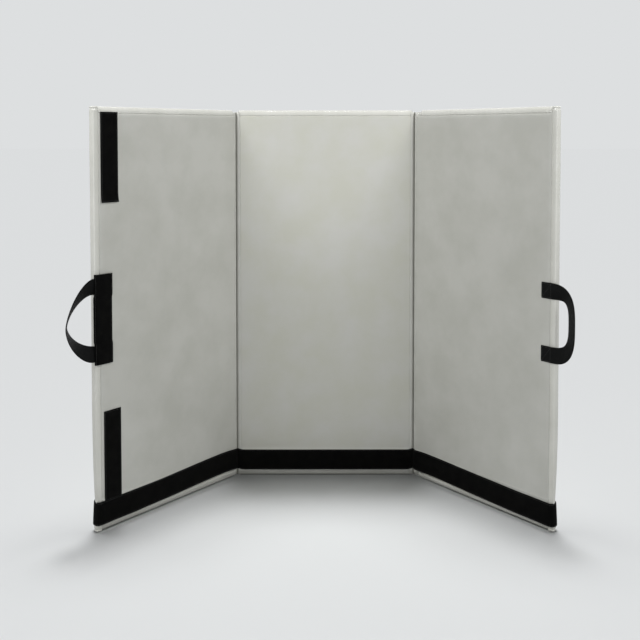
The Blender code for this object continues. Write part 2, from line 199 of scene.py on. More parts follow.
# %% Overhead lamps
# name: (level on the floor, spread, lean behind the pad, lean to its right), angles in degrees
OVERHEAD_LAMPS = {"overhead_lamp": (0.185, 8, 10, 0), "centre_lamp": (0.25, 16, 13, 0),
                  "left_high_lamp": (0.225, 20, 10, -8), "right_high_lamp": (0.225, 20, 10, 8)}
for name, (level, *angles) in OVERHEAD_LAMPS.items():
    spread, behind, beside = map(math.radians, angles)
    data = bpy.data.lights.new(name, "SUN")
    data.energy = level * math.pi
    data.angle = spread
    lamp = bpy.data.objects.new(name, data)
    lamp.rotation_euler = (-behind, beside, 0)
    lamp.visible_glossy = False
    bpy.context.scene.collection.objects.link(lamp)
print("overhead lamps give the floor a level of",
      round(sum(level for level, *angles in OVERHEAD_LAMPS.values()), 2))

# %% [markdown]
# ## Softboxes
# Large rectangular lamps light the faces. The one in front is reflected in the upper half of the
# centre panel, two at the sides reach the wings' folds, and one stands behind. They are kept off
# the floor, as black cards would do in a studio. Light linking does that here: a lamp has a list of
# what it reaches. The edge softbox gets a list of its own further down.

# %% Softboxes
off_the_floor = bpy.data.collections.new("kept_off_the_floor")
off_the_floor.objects.link(floor)
off_the_floor.collection_objects[0].light_linking.link_state = "EXCLUDE"


def softbox(name, place, aim, width, height, watts):
    """A rectangular lamp at a place, turned to a point, that doesn't light the floor."""
    data = bpy.data.lights.new(name, "AREA")
    data.shape = "RECTANGLE"
    data.size, data.size_y = width, height
    data.energy = watts
    lamp = bpy.data.objects.new(name, data)
    lamp.location = place
    direction = np.array(aim) - np.array(place)
    level = math.hypot(direction[0], direction[1])
    lamp.rotation_euler = (math.pi / 2 - math.atan2(-direction[2], level), 0,
                           math.atan2(-direction[0], direction[1]))
    lamp.light_linking.receiver_collection = off_the_floor
    bpy.context.scene.collection.objects.link(lamp)


# name: (place, aim, width, height, watts), lengths in metres
SOFTBOXES = {"front_softbox": ((0.30, -2.7, 1.03), (0.30, 0, 1.03), 2.6, 1.4, 10.0),
             "left_softbox": ((-1.4, -1.0, 2.1), (0.3, 0, 0.8), 0.7, 0.7, 25.5),
             "right_softbox": ((1.4, -1.0, 2.1), (-0.3, 0, 0.8), 0.7, 0.7, 25.5),
             "edge_softbox": ((0, -2.7, 0.9), (0, 0, 0.9), 0.8, 1.6, 15.0),
             "back_softbox": ((0, 3.0, 1.3), (0, 0, 0.5), 3.0, 1.2, 25.0)}
for name, setting in SOFTBOXES.items():
    softbox(name, *setting)

# %% [markdown]
# ## Measuring the frame
# Each panel has its own axes: across it from the fold outwards, up, and forward from its middle
# layer. They come from the joints, and the sizes come from the frame's own pieces. With them a
# piece on a wing is drawn as if the wing lay flat, and it lands where the frame has it. The seams
# lie a little behind the faces. Along the foot the pad's weight pushes the band up, so that seam is
# a few millimetres higher than in the frame, by a different amount on each panel.

# %% Panels
PAD_HEIGHT = cad_box[1][2]
SEAM_BEHIND_FACE = 1.8 * MM
FOOT_SEAM_RISE = {"centre": 5.5 * MM, "left": 5.2 * MM, "right": 0.7 * MM}
Panel = namedtuple("Panel", "name body side hinge outward front middle inner outer "
                            "seam_inner seam_outer seam_low seam_high seam_forward half")


def node_points(node):
    """All corner points of a piece of the frame."""
    mesh = frame["nodes"][node].data
    flat = np.empty(len(mesh.vertices) * 3, np.float32)
    mesh.vertices.foreach_get("co", flat)
    return flat.reshape(-1, 3).astype(float)


def measure_panel(name, body, joint=None):
    """A panel's axes from its fold, and its sizes from the frame's cover pieces."""
    side, hinge, fold = 1, np.zeros(3), 0.0
    if joint:
        hinge = np.array((*joint["pos_m"][:2], 0.0))
        side = math.copysign(1, hinge[0])
        fold = -math.radians(joint["range_deg"][0])
    outward = np.array((side * math.cos(fold), -math.sin(fold), 0.0))
    front = np.array((-side * math.sin(fold), -math.cos(fold), 0.0))
    edge = node_points(name + "_edge_band") - hinge
    rim = node_points(name + ("_side_band" if joint else "_edge_band")) - hinge
    face = node_points(name + "_front_sheet") - hinge
    back = node_points(name + "_back_sheet") - hinge
    middle = ((face @ front).max() + (back @ front).min()) / 2
    half = (face @ front).max() - middle
    across = face @ outward
    return Panel(name, body, side, hinge, outward, front, middle,
                 inner=(edge @ outward).min(), outer=(rim @ outward).max(),
                 seam_inner=across.min(), seam_outer=across.max(),
                 seam_low=face[:, 2].min() + FOOT_SEAM_RISE[name], seam_high=face[:, 2].max(),
                 seam_forward=half - SEAM_BEHIND_FACE, half=half)


joints = {joint["name"]: joint for joint in frame["joints"]}
centre = measure_panel("centre", "centre_panel")
left = measure_panel("left", "left_wing", joints["left_fold"])
right = measure_panel("right", "right_wing", joints["right_fold"])
PANELS = (centre, left, right)
for panel in PANELS:
    print(panel.name, "in mm: across", round(panel.inner / MM, 1), "to", round(panel.outer / MM, 1),
          "seams", round(panel.seam_inner / MM, 1), round(panel.seam_outer / MM, 1),
          "half thickness", round(panel.half / MM, 1))


def spot(panel, across, height, forward):
    """Points of a panel, from numbers or arrays of the same shape."""
    across, height, forward = np.broadcast_arrays(across, height, forward)
    return (panel.hinge + across[..., None] * panel.outward
            + (forward + panel.middle)[..., None] * panel.front
            + height[..., None] * np.array((0, 0, 1.0)))


# %% [markdown]
# ## Cloth as grids
# Sewn cloth follows seams, so each piece of it is a grid of points whose rows and columns run along
# them. A grid can be close near a seam, where the cloth turns sharply, and wide in a flat middle.
# Each grid keeps a UV map in metres along the cloth, which the weave and the creases follow.

# %% Grid helpers
def show(name, mesh, material):
    """A mesh as an object of the scene, with its finish."""
    mesh.materials.clear()
    mesh.materials.append(material)
    piece = bpy.data.objects.new(name, mesh)
    bpy.context.scene.collection.objects.link(piece)
    return piece


def grid_mesh(name, points, along, across, loop_rows=False, loop_columns=False):
    """A mesh from rows and columns of points, with a UV map in metres."""
    rows, columns = points.shape[:2]
    index = np.arange(rows * columns).reshape(rows, columns)
    if loop_rows:
        index = np.vstack((index, index[:1]))
    if loop_columns:
        index = np.hstack((index, index[:, :1]))
    faces = np.stack((index[:-1, :-1], index[:-1, 1:], index[1:, 1:], index[1:, :-1]), -1)
    faces = faces.reshape(-1, 4)
    mesh = bpy.data.meshes.new(name)
    mesh.from_pydata(points.reshape(-1, 3), [], faces)
    uv = np.stack(np.broadcast_arrays(along, across), -1).reshape(-1, 2)
    layer = mesh.uv_layers.new(name="cloth")
    layer.data.foreach_set("uv", uv[faces.ravel()].astype(np.float32).ravel())
    mesh.shade_smooth()
    return mesh


def add_faces(mesh, rings, sharp_from):
    """Adds faces, each a ring of point numbers. Bends of over sharp_from degrees stay sharp."""
    shape = bmesh.new()
    shape.from_mesh(mesh)
    shape.verts.ensure_lookup_table()
    for ring in rings:
        shape.faces.new([shape.verts[i] for i in ring])
    shape.to_mesh(mesh)
    shape.free()
    mesh.shade_smooth()
    mesh.set_sharp_from_angle(angle=math.radians(sharp_from))


def face_outwards(piece):
    """Turns a closed piece's faces outwards."""
    shape = bmesh.new()
    shape.from_mesh(piece.data)
    bmesh.ops.remove_doubles(shape, verts=shape.verts, dist=1e-6)
    bmesh.ops.recalc_face_normals(shape, faces=shape.faces)
    shape.to_mesh(piece.data)
    shape.free()


def set_modifiers(piece):
    """Makes a piece's modifiers part of its mesh."""
    graph = bpy.context.evaluated_depsgraph_get()
    finished = bpy.data.meshes.new_from_object(piece.evaluated_get(graph))
    finished.name = piece.data.name
    piece.modifiers.clear()
    piece.data = finished


def give_thickness(piece, thickness, offset=-1):
    """Turns a single layer of cloth into a closed one. Offset -1 keeps its outer face."""
    wall = piece.modifiers.new("cloth thickness", "SOLIDIFY")
    wall.thickness = thickness
    wall.offset = offset
    set_modifiers(piece)


# %% Helpers for rows of points
def distances(points):
    """How far along a row of points each of them lies."""
    return np.concatenate(([0], np.cumsum(np.linalg.norm(np.diff(points, axis=0), axis=1))))


def unit(rows):
    """Directions of length 1."""
    return rows / np.linalg.norm(rows, axis=1)[:, None]


def graded(start, end, fine, coarse, run):
    """Numbers from start to end: steps near both ends grow from fine to coarse within a run."""
    steps = [0.0]
    while steps[-1] < run:
        steps.append(steps[-1] + fine + (coarse - fine) * steps[-1] / run)
    low = start + np.array(steps)
    high = (end - np.array(steps))[::-1]
    count = max(2, round((high[0] - low[-1]) / coarse))
    return np.concatenate((low, np.linspace(low[-1], high[0], count + 1)[1:-1], high))


def soft_noise(u, v, size, seed):
    """Smooth random heights from -1 to 1 whose bumps are about one size, in metres."""
    lattice = np.random.default_rng(seed).uniform(-1, 1, (64, 64))
    x, y = np.asarray(u) / size + 200, np.asarray(v) / size + 200
    column, row = np.floor(x).astype(int), np.floor(y).astype(int)
    fx, fy = x - column, y - row
    fx, fy = fx * fx * (3 - 2 * fx), fy * fy * (3 - 2 * fy)
    near = lattice[row % 64, column % 64] * (1 - fx) + lattice[row % 64, (column + 1) % 64] * fx
    far = (lattice[(row + 1) % 64, column % 64] * (1 - fx)
           + lattice[(row + 1) % 64, (column + 1) % 64] * fx)
    return near * (1 - fy) + far * fy


# %% [markdown]
# ## Coated cloth
# The cover is polyester cloth with a thin coat of plastic on its face. The coat fills the weave, so
# the surface is smooth and a little shiny, with the threads as a faint relief. Handling leaves it
# cloudy. The threads are half a millimetre apart on the real cloth, too fine to show, and are drawn
# at 1.5 mm. The clouds are 30 to 120 mm across. The centre panel's cloth is a little tauter.

# %% Weave
def weave_height(tree, spacings):
    """The relief of a weave: waves along and across the cloth, one multiplied by the other."""
    on_cloth = add_node(tree, "ShaderNodeUVMap", uv_map="cloth").outputs[0]
    apart = add_node(tree, "ShaderNodeSeparateXYZ", {0: on_cloth})
    waves = []
    for axis, spacing in enumerate(spacings):
        phase = add_node(tree, "ShaderNodeMath",
                         {0: apart.outputs[axis], 1: 2 * math.pi / spacing}, operation="MULTIPLY")
        waves.append(add_node(tree, "ShaderNodeMath", {0: phase.outputs[0]}, operation="SINE"))
    return add_node(tree, "ShaderNodeMath", {0: waves[0].outputs[0], 1: waves[1].outputs[0]},
                    operation="MULTIPLY").outputs[0]


# %% Coated polyester
CLOTH_GREY = "#BDBDB7"
WING_CLOUD = "#B5B5AE"
CENTRE_CLOUD = "#B9B9AE"
CLOTH_GLOSS = 0.75
THREAD_SPACING = 1.5 * MM
CLOUD_SIZE = 90 * MM
SCUFF_SIZE = 18 * MM
RUMPLE_SIZE = 30 * MM


def coated_polyester(name, light, dark, slackness):
    """Plastic-coated cloth: cloudy, faintly woven, semi-gloss, and as rumpled as its slackness."""
    material, tree, shader = new_material(name)
    shader.inputs["Specular IOR Level"].default_value = CLOTH_GLOSS
    in_space = add_node(tree, "ShaderNodeTexCoord").outputs["Object"]
    clouds = add_node(tree, "ShaderNodeTexNoise", {"Vector": in_space, "Scale": 1 / CLOUD_SIZE,
                                                  "Detail": 4.0, "Roughness": 0.55})
    tone = add_node(tree, "ShaderNodeMapRange", {"Value": clouds.outputs[0], "From Min": 0.35,
                                                 "From Max": 0.65})
    colour = add_node(tree, "ShaderNodeMix", {0: tone.outputs[0], 6: linear(light),
                                             7: linear(dark)}, data_type="RGBA")
    tree.links.new(colour.outputs[2], shader.inputs["Base Color"])
    scuffs = add_node(tree, "ShaderNodeTexNoise", {"Vector": in_space, "Scale": 1 / SCUFF_SIZE,
                                                  "Detail": 3.0})
    gloss = add_node(tree, "ShaderNodeMapRange", {"Value": scuffs.outputs[0], "To Min": 0.21,
                                                  "To Max": 0.22 + 0.2 * slackness})
    tree.links.new(gloss.outputs[0], shader.inputs["Roughness"])
    weave = weave_height(tree, (THREAD_SPACING, THREAD_SPACING))
    relief = add_node(tree, "ShaderNodeBump", {"Height": weave, "Strength": 0.25,
                                               "Distance": 0.03 * MM})
    slack = add_node(tree, "ShaderNodeTexNoise", {"Vector": in_space, "Scale": 1 / RUMPLE_SIZE,
                                                 "Detail": 2.0})
    rumples = add_node(tree, "ShaderNodeBump", {"Height": slack.outputs[0], "Strength": slackness,
                                                "Distance": 0.6 * MM,
                                                "Normal": relief.outputs[0]})
    tree.links.new(rumples.outputs[0], shader.inputs["Normal"])
    return material


grey_cloth = coated_polyester("coated_polyester_cloth", CLOTH_GREY, WING_CLOUD, 0.30)
smooth_cloth = coated_polyester("coated_polyester_cloth_smooth", CLOTH_GREY, CENTRE_CLOUD, 0.10)
print("cloth finishes:", grey_cloth.name, "and", smooth_cloth.name)

# %% [markdown]
# ## Front and back cloth
# Each panel's face is one flat piece of cloth over foam. At the seams it dives between the band and
# the face, and the foam lifts it again within a couple of centimetres, so the face has a soft
# shoulder all round and a nearly flat middle. At the foot the seam dives deeper, and above the foot
# tape the cloth swells a little. A plane with a bevel would show a hard rim. The grid's heights
# come from the distance to the nearest seam instead, with slow waves where the cloth is slack.

# %% How a face lies
SEAM_DIVE = 1.3 * MM
FOOT_SEAM_DIVE = 7.0 * MM
FOOT_GROOVE = 2.0 * MM
FOLD_SEAM_DIVE = 0.5 * MM
FOLD_GROOVE = 1.2 * MM
CROWN_RUN = 12 * MM
CROWN_POWER = 2.6
CORNER_EASE = 0.25
TAPE_SWELL = 1.0 * MM
SWELL_REACH = 2.5 * MM
TAPE_OVERLAP = 1.75 * MM
TAPE_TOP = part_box("centre_foot_tape")[1][2] + TAPE_OVERLAP
WAVE_HEIGHT = {"centre": 0.20 * MM, "left": 0.45 * MM, "right": 0.45 * MM}
WAVE_SEED = {"centre": 3, "left": 5, "right": 8}
BACK_SEED = 20
SLANTED_WAVE, ROUND_WAVE, SMALL_WAVE = 110 * MM, 60 * MM, 14 * MM


def dive(distance, deep, groove):
    """How deep a seam draws the cloth in at a distance from it."""
    return deep * np.exp(-(np.maximum(distance, 0) / groove) ** 1.4)


def slack_waves(panel, across, height, facing):
    """The waves of slack cloth: slanted ones a hand wide, rounder ones and small ones."""
    seed = WAVE_SEED[panel.name] + (0 if facing > 0 else BACK_SEED)
    along_slant = height * 0.55 + across * 0.85
    across_slant = across * 0.55 - height * 0.85
    return (0.6 * soft_noise(along_slant, across_slant * 2.2, SLANTED_WAVE, seed)
            + 0.4 * soft_noise(across, height, ROUND_WAVE, seed + 1)
            + 0.3 * soft_noise(across * 0.3, height + 0.1 * across, SMALL_WAVE, seed + 2))


def face_surface(panel, across, height, facing, inner):
    """How far forward the face lies at places of a panel whose seam by the fold is at inner."""
    to_seam = np.stack(np.broadcast_arrays(across - inner, panel.seam_outer - across,
                                           height - panel.seam_low, panel.seam_high - height))
    fold_dive, swell = 0.0, 0.0
    if facing > 0:
        folds = 2 if panel is centre else 1
        fold_dive = dive(to_seam[:folds].min(0), FOLD_SEAM_DIVE, FOLD_GROOVE)
        to_seam[:folds] = 9 * CROWN_RUN
        swell = TAPE_SWELL * np.exp(-((height - TAPE_TOP - 0.5 * MM) / SWELL_REACH) ** 2)
    nearest, others = np.sort(to_seam, 0)[:2]
    corner = np.clip(1 - others / (3 * CROWN_RUN), 0, 1)
    inside = np.clip(nearest / CROWN_RUN, 0, 1)
    level = SEAM_BEHIND_FACE * (1 - (1 - inside) ** CROWN_POWER - CORNER_EASE * corner * inside)
    level = level - np.maximum(dive(nearest, SEAM_DIVE, 0.45 * SEAM_DIVE),
                               dive(to_seam[2], FOOT_SEAM_DIVE, FOOT_GROOVE))
    level = level - fold_dive
    waves = slack_waves(panel, across, height, facing)
    return facing * (panel.seam_forward + level + swell
                     + WAVE_HEIGHT[panel.name] * waves * inside)


# %% Face cloth
CLOTH_THICKNESS = 0.8 * MM
SEAM_TUCK = 0.5 * MM
SEAM_STEP = 0.5 * MM
FACE_STEP = 5 * MM
FINE_RUN = 24 * MM
TAPE_EDGE_ROWS = TAPE_TOP + np.arange(-8, 12) * MM


def face_cloth(panel, facing, inner):
    """The front (facing 1) or back (facing -1) cloth of a panel's cover."""
    columns = graded(inner - SEAM_TUCK, panel.seam_outer + SEAM_TUCK, SEAM_STEP, FACE_STEP,
                     FINE_RUN)
    rows = graded(panel.seam_low - SEAM_TUCK, panel.seam_high + SEAM_TUCK, SEAM_STEP, FACE_STEP,
                  FINE_RUN)
    rows = rows[(rows < TAPE_EDGE_ROWS[0]) | (rows > TAPE_EDGE_ROWS[-1])]
    rows = np.sort(np.concatenate((rows, TAPE_EDGE_ROWS)))
    across, height = np.meshgrid(columns, rows)
    points = spot(panel, across, height, face_surface(panel, across, height, facing, inner))
    if facing * panel.side < 0:
        points, across, height = points[:, ::-1], across[:, ::-1], height[:, ::-1]
    name = panel.name + ("_front_cloth" if facing > 0 else "_back_cloth")
    piece = show(name, grid_mesh(name, points, across, height),
                 smooth_cloth if panel is centre else grey_cloth)
    give_thickness(piece, CLOTH_THICKNESS)
    print(name + ":", len(piece.data.polygons), "faces")
    return piece


# %% [markdown]
# ## What moves with what
# Each piece rides on one body of the frame and turns with it. A piece across a fold rides on none
# and stays where it is made. The right wing's fold lies further forward than the left one, so that
# both wings can close. Its front cloth therefore starts at the corner where the two faces meet.

# %% Riding and bending
CREASE_HALF = 2.3 * MM
FOLD_ROLL = centre.seam_inner - centre.inner


def vertex_across(wing):
    """Where the two front faces would meet at a fold, measured across the wing."""
    fold = math.atan2(-wing.outward[1], abs(wing.outward[0]))
    return (wing.middle + wing.half) * math.tan(fold / 2)


VISIBLE_SEAM = {"centre": centre.seam_inner, "left": left.seam_inner,
                "right": vertex_across(right) + CREASE_HALF + FOLD_ROLL}
FOLD_START = {"left": spot(centre, np.array(-centre.seam_outer), 0, centre.half),
              "right": spot(right, np.array(vertex_across(right)), 0, right.half)}
FOLD_END = {wing.name: spot(wing, np.array(wing.seam_inner), 0, wing.half)
            for wing in (left, right)}


def follow(piece, panel):
    """Lets a piece ride on its panel."""
    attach(piece, panel.body)


def bend_at_fold(piece):
    """Keeps a piece across a fold where it is made, riding on no body."""
    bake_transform(piece)


# %% Sew the faces in
for panel in PANELS:
    front = face_cloth(panel, 1, VISIBLE_SEAM[panel.name])
    back = face_cloth(panel, -1, panel.seam_inner)
    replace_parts(front, panel.name + "_front_sheet")
    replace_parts(back, panel.name + "_back_sheet")
    follow(back, panel)
    if panel is right:
        bend_at_fold(front)
    else:
        follow(front, panel)

# %% [markdown]
# ## Padded edge bands
# A strip of the same cloth runs round the edge of each panel and closes it. The foam pushes it out
# to a soft roll, flatter along the top and squarer at the foot, where the pad stands on it. A sewer
# gathers it a little, so it puckers along the top and the foot: slanted creases about 16 mm apart.
# It could be a bevelled box with a bump map. A swept section with real puckers keeps its shape in
# outline and catches the light from any side.

# %% Sections and outlines
ROLL_STEPS = 18
OUTER_CORNER = 5 * MM
SEAM_CORNER = 3 * MM


def roll_section(half_height, squareness, at_foot=0.0, front_only=False):
    """Cross-sections of a roll from seam to seam, as the share of its width and how far forward.

    There is one for each squareness: 2 is round, more is boxy and less is flattened. The roll's
    back half can stay round.
    """
    angle = np.radians(np.linspace(80, -80, ROLL_STEPS + 1))[:, None]
    power = 2 / np.atleast_1d(squareness)[None, :]
    if front_only:
        power = np.where(angle > 0, power, 1.0)
    share = np.cos(angle) ** power
    level = half_height * np.sign(np.sin(angle)) * np.abs(np.sin(angle)) ** power
    dive_share = (np.array((-0.05, 0.02, 0.08))[:, None] + 0 * power[:1]
                  + np.array((0, 0.08, 0.16))[:, None] * at_foot)
    seam_dive = SEAM_DIVE + (FOOT_SEAM_DIVE - SEAM_DIVE) * at_foot
    dive_level = half_height - np.array((1.0, 0.4, 0.06))[:, None] * seam_dive + 0 * power[:1]
    return (np.vstack((dive_share, share, dive_share[::-1])),
            np.vstack((dive_level, level, -dive_level[::-1])))


def rim(panel, share, corners, to_tube=False):
    """(across, height) points round a panel: share 0 is the outermost line and 1 the seam.

    Corners go bottom outer, top outer, top inner, bottom inner. Both ends can run on to the side
    tube.
    """
    radius = OUTER_CORNER + (SEAM_CORNER - OUTER_CORNER) * share
    out = panel.outer + (panel.seam_outer - panel.outer) * share - radius
    inn = panel.inner + (panel.seam_inner - panel.inner) * share + radius
    low = panel.seam_low * share + radius
    high = PAD_HEIGHT + (panel.seam_high - PAD_HEIGHT) * share - radius
    centres = ((out, low), (out, high), (inn, high), (inn, low))
    points = []
    for corner in corners:
        for turn in np.linspace(corner - 1, corner, 6) * math.pi / 2:
            points.append((centres[corner % 4][0] + radius * math.cos(turn),
                           centres[corner % 4][1] + radius * math.sin(turn)))
    if to_tube:
        points = ([(panel.seam_outer, points[0][1])] + points
                  + [(panel.seam_outer, points[-1][1])])
    return np.array(points)


def subdivide(rings, longest):
    """Adds stations to rings of points, so that none is further from the next than longest."""
    shares = [0.0]
    gaps = np.linalg.norm(np.diff(rings[0], axis=0), axis=1)
    for index, gap in enumerate(gaps):
        count = max(1, math.ceil(gap / longest))
        shares += [index + (step + 1) / count for step in range(count)]
    shares = np.array(shares)
    return [np.stack([np.interp(shares, np.arange(len(ring)), ring[:, axis])
                      for axis in (0, 1)], -1) for ring in rings]


# %% Puckers
PUCKER_SPACING = 16 * MM
PUCKER_DEPTH = 1.0 * MM
PUCKER_WIDTH = 2.4 * MM
PUCKER_SLANT = 0.35
PUCKER_WANDER = 0.28


def pucker_depth(along, turn, amount, seed):
    """How far slanted puckers draw a band in. turn goes from 1 at its front seam to -1."""
    place = (along / PUCKER_SPACING + PUCKER_SLANT * turn
             + PUCKER_WANDER * soft_noise(along, turn * 0.01, 0.03, seed))
    off = (place - np.round(place)) * PUCKER_SPACING
    deep = 0.55 + 0.45 * soft_noise(np.round(place) * 0.013, turn * 0, 0.013, seed + 1)
    near_seam = np.clip(1.25 * np.abs(turn), 0, 1) ** 0.8
    crease = np.exp(-(off / PUCKER_WIDTH) ** 2)
    swell = 0.35 * np.cos(off / PUCKER_SPACING * 2 * math.pi)
    return amount * PUCKER_DEPTH * near_seam * deep * (crease - 0.3 - swell * 0.3)


# %% Edge bands
SIDE_STEP = 3 * MM
EDGE_RUN = 4 * MM
END_DIVE = 1.6 * MM
END_GROOVE = 1.3 * MM
TOP_FLATTENING = 0.45
FOOT_SQUARING = 1.4
FOOT_PUCKERS = 0.5
SIDE_PUCKERS = 0.06


def edge_band(name, panel, corners, seed, to_tube=False):
    """A padded band round part of a panel, from its front seam to its back seam."""
    closed = len(corners) > 4
    outermost, seam = subdivide([rim(panel, share, corners, to_tube) for share in (0, 1)],
                                SIDE_STEP)
    along = distances(outermost)
    outwards = unit(outermost - seam)
    at_top = np.clip((outermost[:, 1] - panel.seam_high) / EDGE_RUN, 0, 1)
    at_foot = np.clip((panel.seam_low - outermost[:, 1]) / EDGE_RUN, 0, 1)
    amount = at_top + FOOT_PUCKERS * at_foot + SIDE_PUCKERS
    ends = np.minimum(along, along[-1] - along)
    end_dive = 0 if closed else END_DIVE * np.exp(-(ends / END_GROOVE) ** 2)
    squareness = 2 - TOP_FLATTENING * at_top + FOOT_SQUARING * at_foot
    share, level = roll_section(panel.seam_forward, squareness, at_foot)
    turn = level / panel.seam_forward
    inward = pucker_depth(along[None, :], turn, amount[None, :], seed) + end_dive
    drawn_in = (inward * np.sqrt(np.maximum(1 - turn * turn, 0)))[..., None] * outwards
    ring = seam + (outermost - seam) * share[..., None] - drawn_in
    points = spot(panel, ring[..., 0], np.maximum(ring[..., 1], 0.0), level - inward * turn)
    width = np.linspace(0, math.pi * panel.seam_forward, len(share))[:, None]
    if panel.side > 0:
        points, width = points[::-1], width[::-1]
    if closed:
        points, along = points[:, :-1], along[:-1]
    band = show(name, grid_mesh(name, points, along[None, :], width, loop_columns=closed),
                grey_cloth)
    give_thickness(band, CLOTH_THICKNESS)
    follow(band, panel)
    print(name, "length in mm:", round(along[-1] / MM))
    return band


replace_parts(edge_band("centre_edge_roll", centre, (0, 1, 2, 3, 4), 11), "centre_edge_band")
for wing, seed in ((left, 12), (right, 15)):
    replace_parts(edge_band(wing.name + "_edge_roll", wing, (2, 3), seed, to_tube=True),
                wing.name + "_edge_band")

# %% [markdown]
# ## Side tubes
# The outer edge of each wing is a tube of its own, sewn to the wing's two faces. It is nearly
# square in section, so its corner catches the light in one long line. Both ends are closed with a
# seam, and the foot tape draws it in near the floor. A swept section with these waists is closer to
# it than a bevelled box.

# %% Side tubes
TUBE_SQUARENESS = 5.0
TUBE_END_ROUND = 3 * MM
TUBE_SEAM_FROM_END = 5 * MM
TUBE_SEAM_DEPTH = 2.2 * MM
TUBE_SEAM_WIDTH = 1.5 * MM
TUBE_WAIST = 4.5 * MM
WAIST_RUN = 200 * MM
TUBE_STEPS = (0.5 * MM, 4 * MM, 14 * MM)
TUBE_UNEVENNESS = 0.3 * MM
SPINE_INSETS = (2 * MM, 9 * MM)
END_RING_INSETS = (100 * MM, 6 * MM)


def tube_waist(height):
    """How far the foot tape draws a side tube in."""
    above = np.clip((height - TAPE_TOP) / WAIST_RUN, 0, 1)
    below = np.clip((TAPE_TOP - height) / TAPE_TOP, 0, 1)
    return TUBE_WAIST * (1 - above) ** 2 * (1 - 0.7 * below ** 1.5)


def side_tube(wing, seed):
    """The closed tube along a wing's outer edge."""
    share, level = roll_section(wing.seam_forward, TUBE_SQUARENESS, front_only=True)
    wall = np.linspace(-level[0, 0], level[0, 0], 7)[1:-1]
    wide = wing.outer - wing.seam_outer
    across = wing.seam_outer + wide * np.concatenate((share[:, 0], 0 * wall))
    forward = np.concatenate((level[:, 0], wall))
    spine = np.clip(across, wing.seam_outer + SPINE_INSETS[0], wing.outer - SPINE_INSETS[1])
    to_spine = np.stack((spine - across, -forward), -1)
    reach = np.linalg.norm(to_spine, axis=1)
    to_spine = unit(to_spine)
    heights = graded(0, PAD_HEIGHT, *TUBE_STEPS)
    from_end = np.minimum(heights, PAD_HEIGHT - heights)
    rounding = 1 - np.clip(from_end / TUBE_END_ROUND, 0, 1)
    seam = TUBE_SEAM_DEPTH * np.exp(-((from_end - TUBE_SEAM_FROM_END) / TUBE_SEAM_WIDTH) ** 2)
    inset = TUBE_END_ROUND * (1 - np.sqrt(1 - rounding ** 2)) + tube_waist(heights) + seam
    # Two more rings at each end close it: the outer one is drawn in all the way to the spine.
    cap = np.array(END_RING_INSETS)
    heights = np.concatenate((heights[:1], heights[:1], heights, heights[-1:], heights[-1:]))
    inset = np.concatenate((cap, inset, cap[::-1]))
    around = np.cumsum(np.hypot(np.gradient(across), np.gradient(forward)))
    uneven = TUBE_UNEVENNESS * soft_noise(heights[:, None], around[None, :], 50 * MM, seed)
    free = np.clip((across - wing.seam_outer) / (4 * MM), 0, 1)
    free = np.where(inset[:, None] >= cap[1], 1.0, free[None, :])
    inset = np.minimum((inset[:, None] + uneven + TUBE_UNEVENNESS) * free, reach[None, :])
    points = spot(wing, across + to_spine[:, 0] * inset, heights[:, None],
                  forward + to_spine[:, 1] * inset)
    name = wing.name + "_side_tube"
    tube = show(name, grid_mesh(name, points, heights[:, None], around[None, :],
                                loop_columns=True), grey_cloth)
    face_outwards(tube)
    give_thickness(tube, CLOTH_THICKNESS)
    follow(tube, wing)
    print(name, "height in mm:", round(PAD_HEIGHT / MM))
    return tube


for wing, seed in ((left, 13), (right, 16)):
    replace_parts(side_tube(wing, seed), wing.name + "_side_band")

# %% [markdown]
# ## Folds
# At each fold a flap of cloth joins two panels. It starts at one front seam, rolls over the panel's
# edge into a deep, nearly closed crease and comes out over the next edge. The crease is what draws
# the dark line. The flap is one mesh from the centre panel's seam to the wing's. On the right it
# runs on below the wing's face as a seam allowance, as a sewer would leave it, so that the seam
# can't gape.

# %% Paths into a fold
# (share of the way from the seam to the fold's corner, depth)
FLAP_ROLL = ((1.0, FOLD_SEAM_DIVE), (0.93, 0.2 * MM), (0.84, 0.05 * MM), (0.62, 0.0),
             (0.42, 0.3 * MM), (0.27, 1.3 * MM), (0.18, 3.2 * MM), (0.11, 6 * MM),
             (0.07, 9 * MM), (0.05, 12 * MM))


def smooth_path(points, count):
    """A smooth curve through points, as evenly spaced stations."""
    points = np.asarray(points, float)
    before = np.vstack((2 * points[0] - points[1], points[:-1]))
    after = np.vstack((points[1:], 2 * points[-1] - points[-2]))
    slope = (after - before) / 2
    fine = []
    for i in range(len(points) - 1):
        t = np.linspace(0, 1, 12, endpoint=False)[:, None]
        fine.append((2 * t**3 - 3 * t**2 + 1) * points[i] + (t**3 - 2 * t**2 + t) * slope[i]
                    + (3 * t**2 - 2 * t**3) * points[i + 1] + (t**3 - t**2) * slope[i + 1])
    fine = np.vstack((*fine, points[-1:]))
    run = distances(fine)
    even = np.linspace(0, run[-1], count)
    return np.stack([np.interp(even, run, fine[:, axis]) for axis in range(3)], -1)


def fold_directions(wing):
    """A fold's corner on the floor, and its directions: along both faces and straight back."""
    corner = spot(wing, np.array(vertex_across(wing)), 0, wing.half).ravel()
    back = -(centre.front + wing.front)
    return corner, -wing.side * centre.outward, wing.outward, back / np.linalg.norm(back)


def crease_side(corner, along, back, reach):
    """The cloth's way from a front seam into the crease."""
    return [corner + along * reach * share + back * sunk for share, sunk in FLAP_ROLL]


# %% Fold cloth
CREASE_DEPTH = 15 * MM
FLAP_STATIONS = 22
FLAP_FOOT = 0.3 * MM
FLAP_ABOVE_SEAM = 9.5 * MM
FLAP_STEPS = (1 * MM, FACE_STEP, 20 * MM)
FLAP_RIPPLE = 0.25 * MM
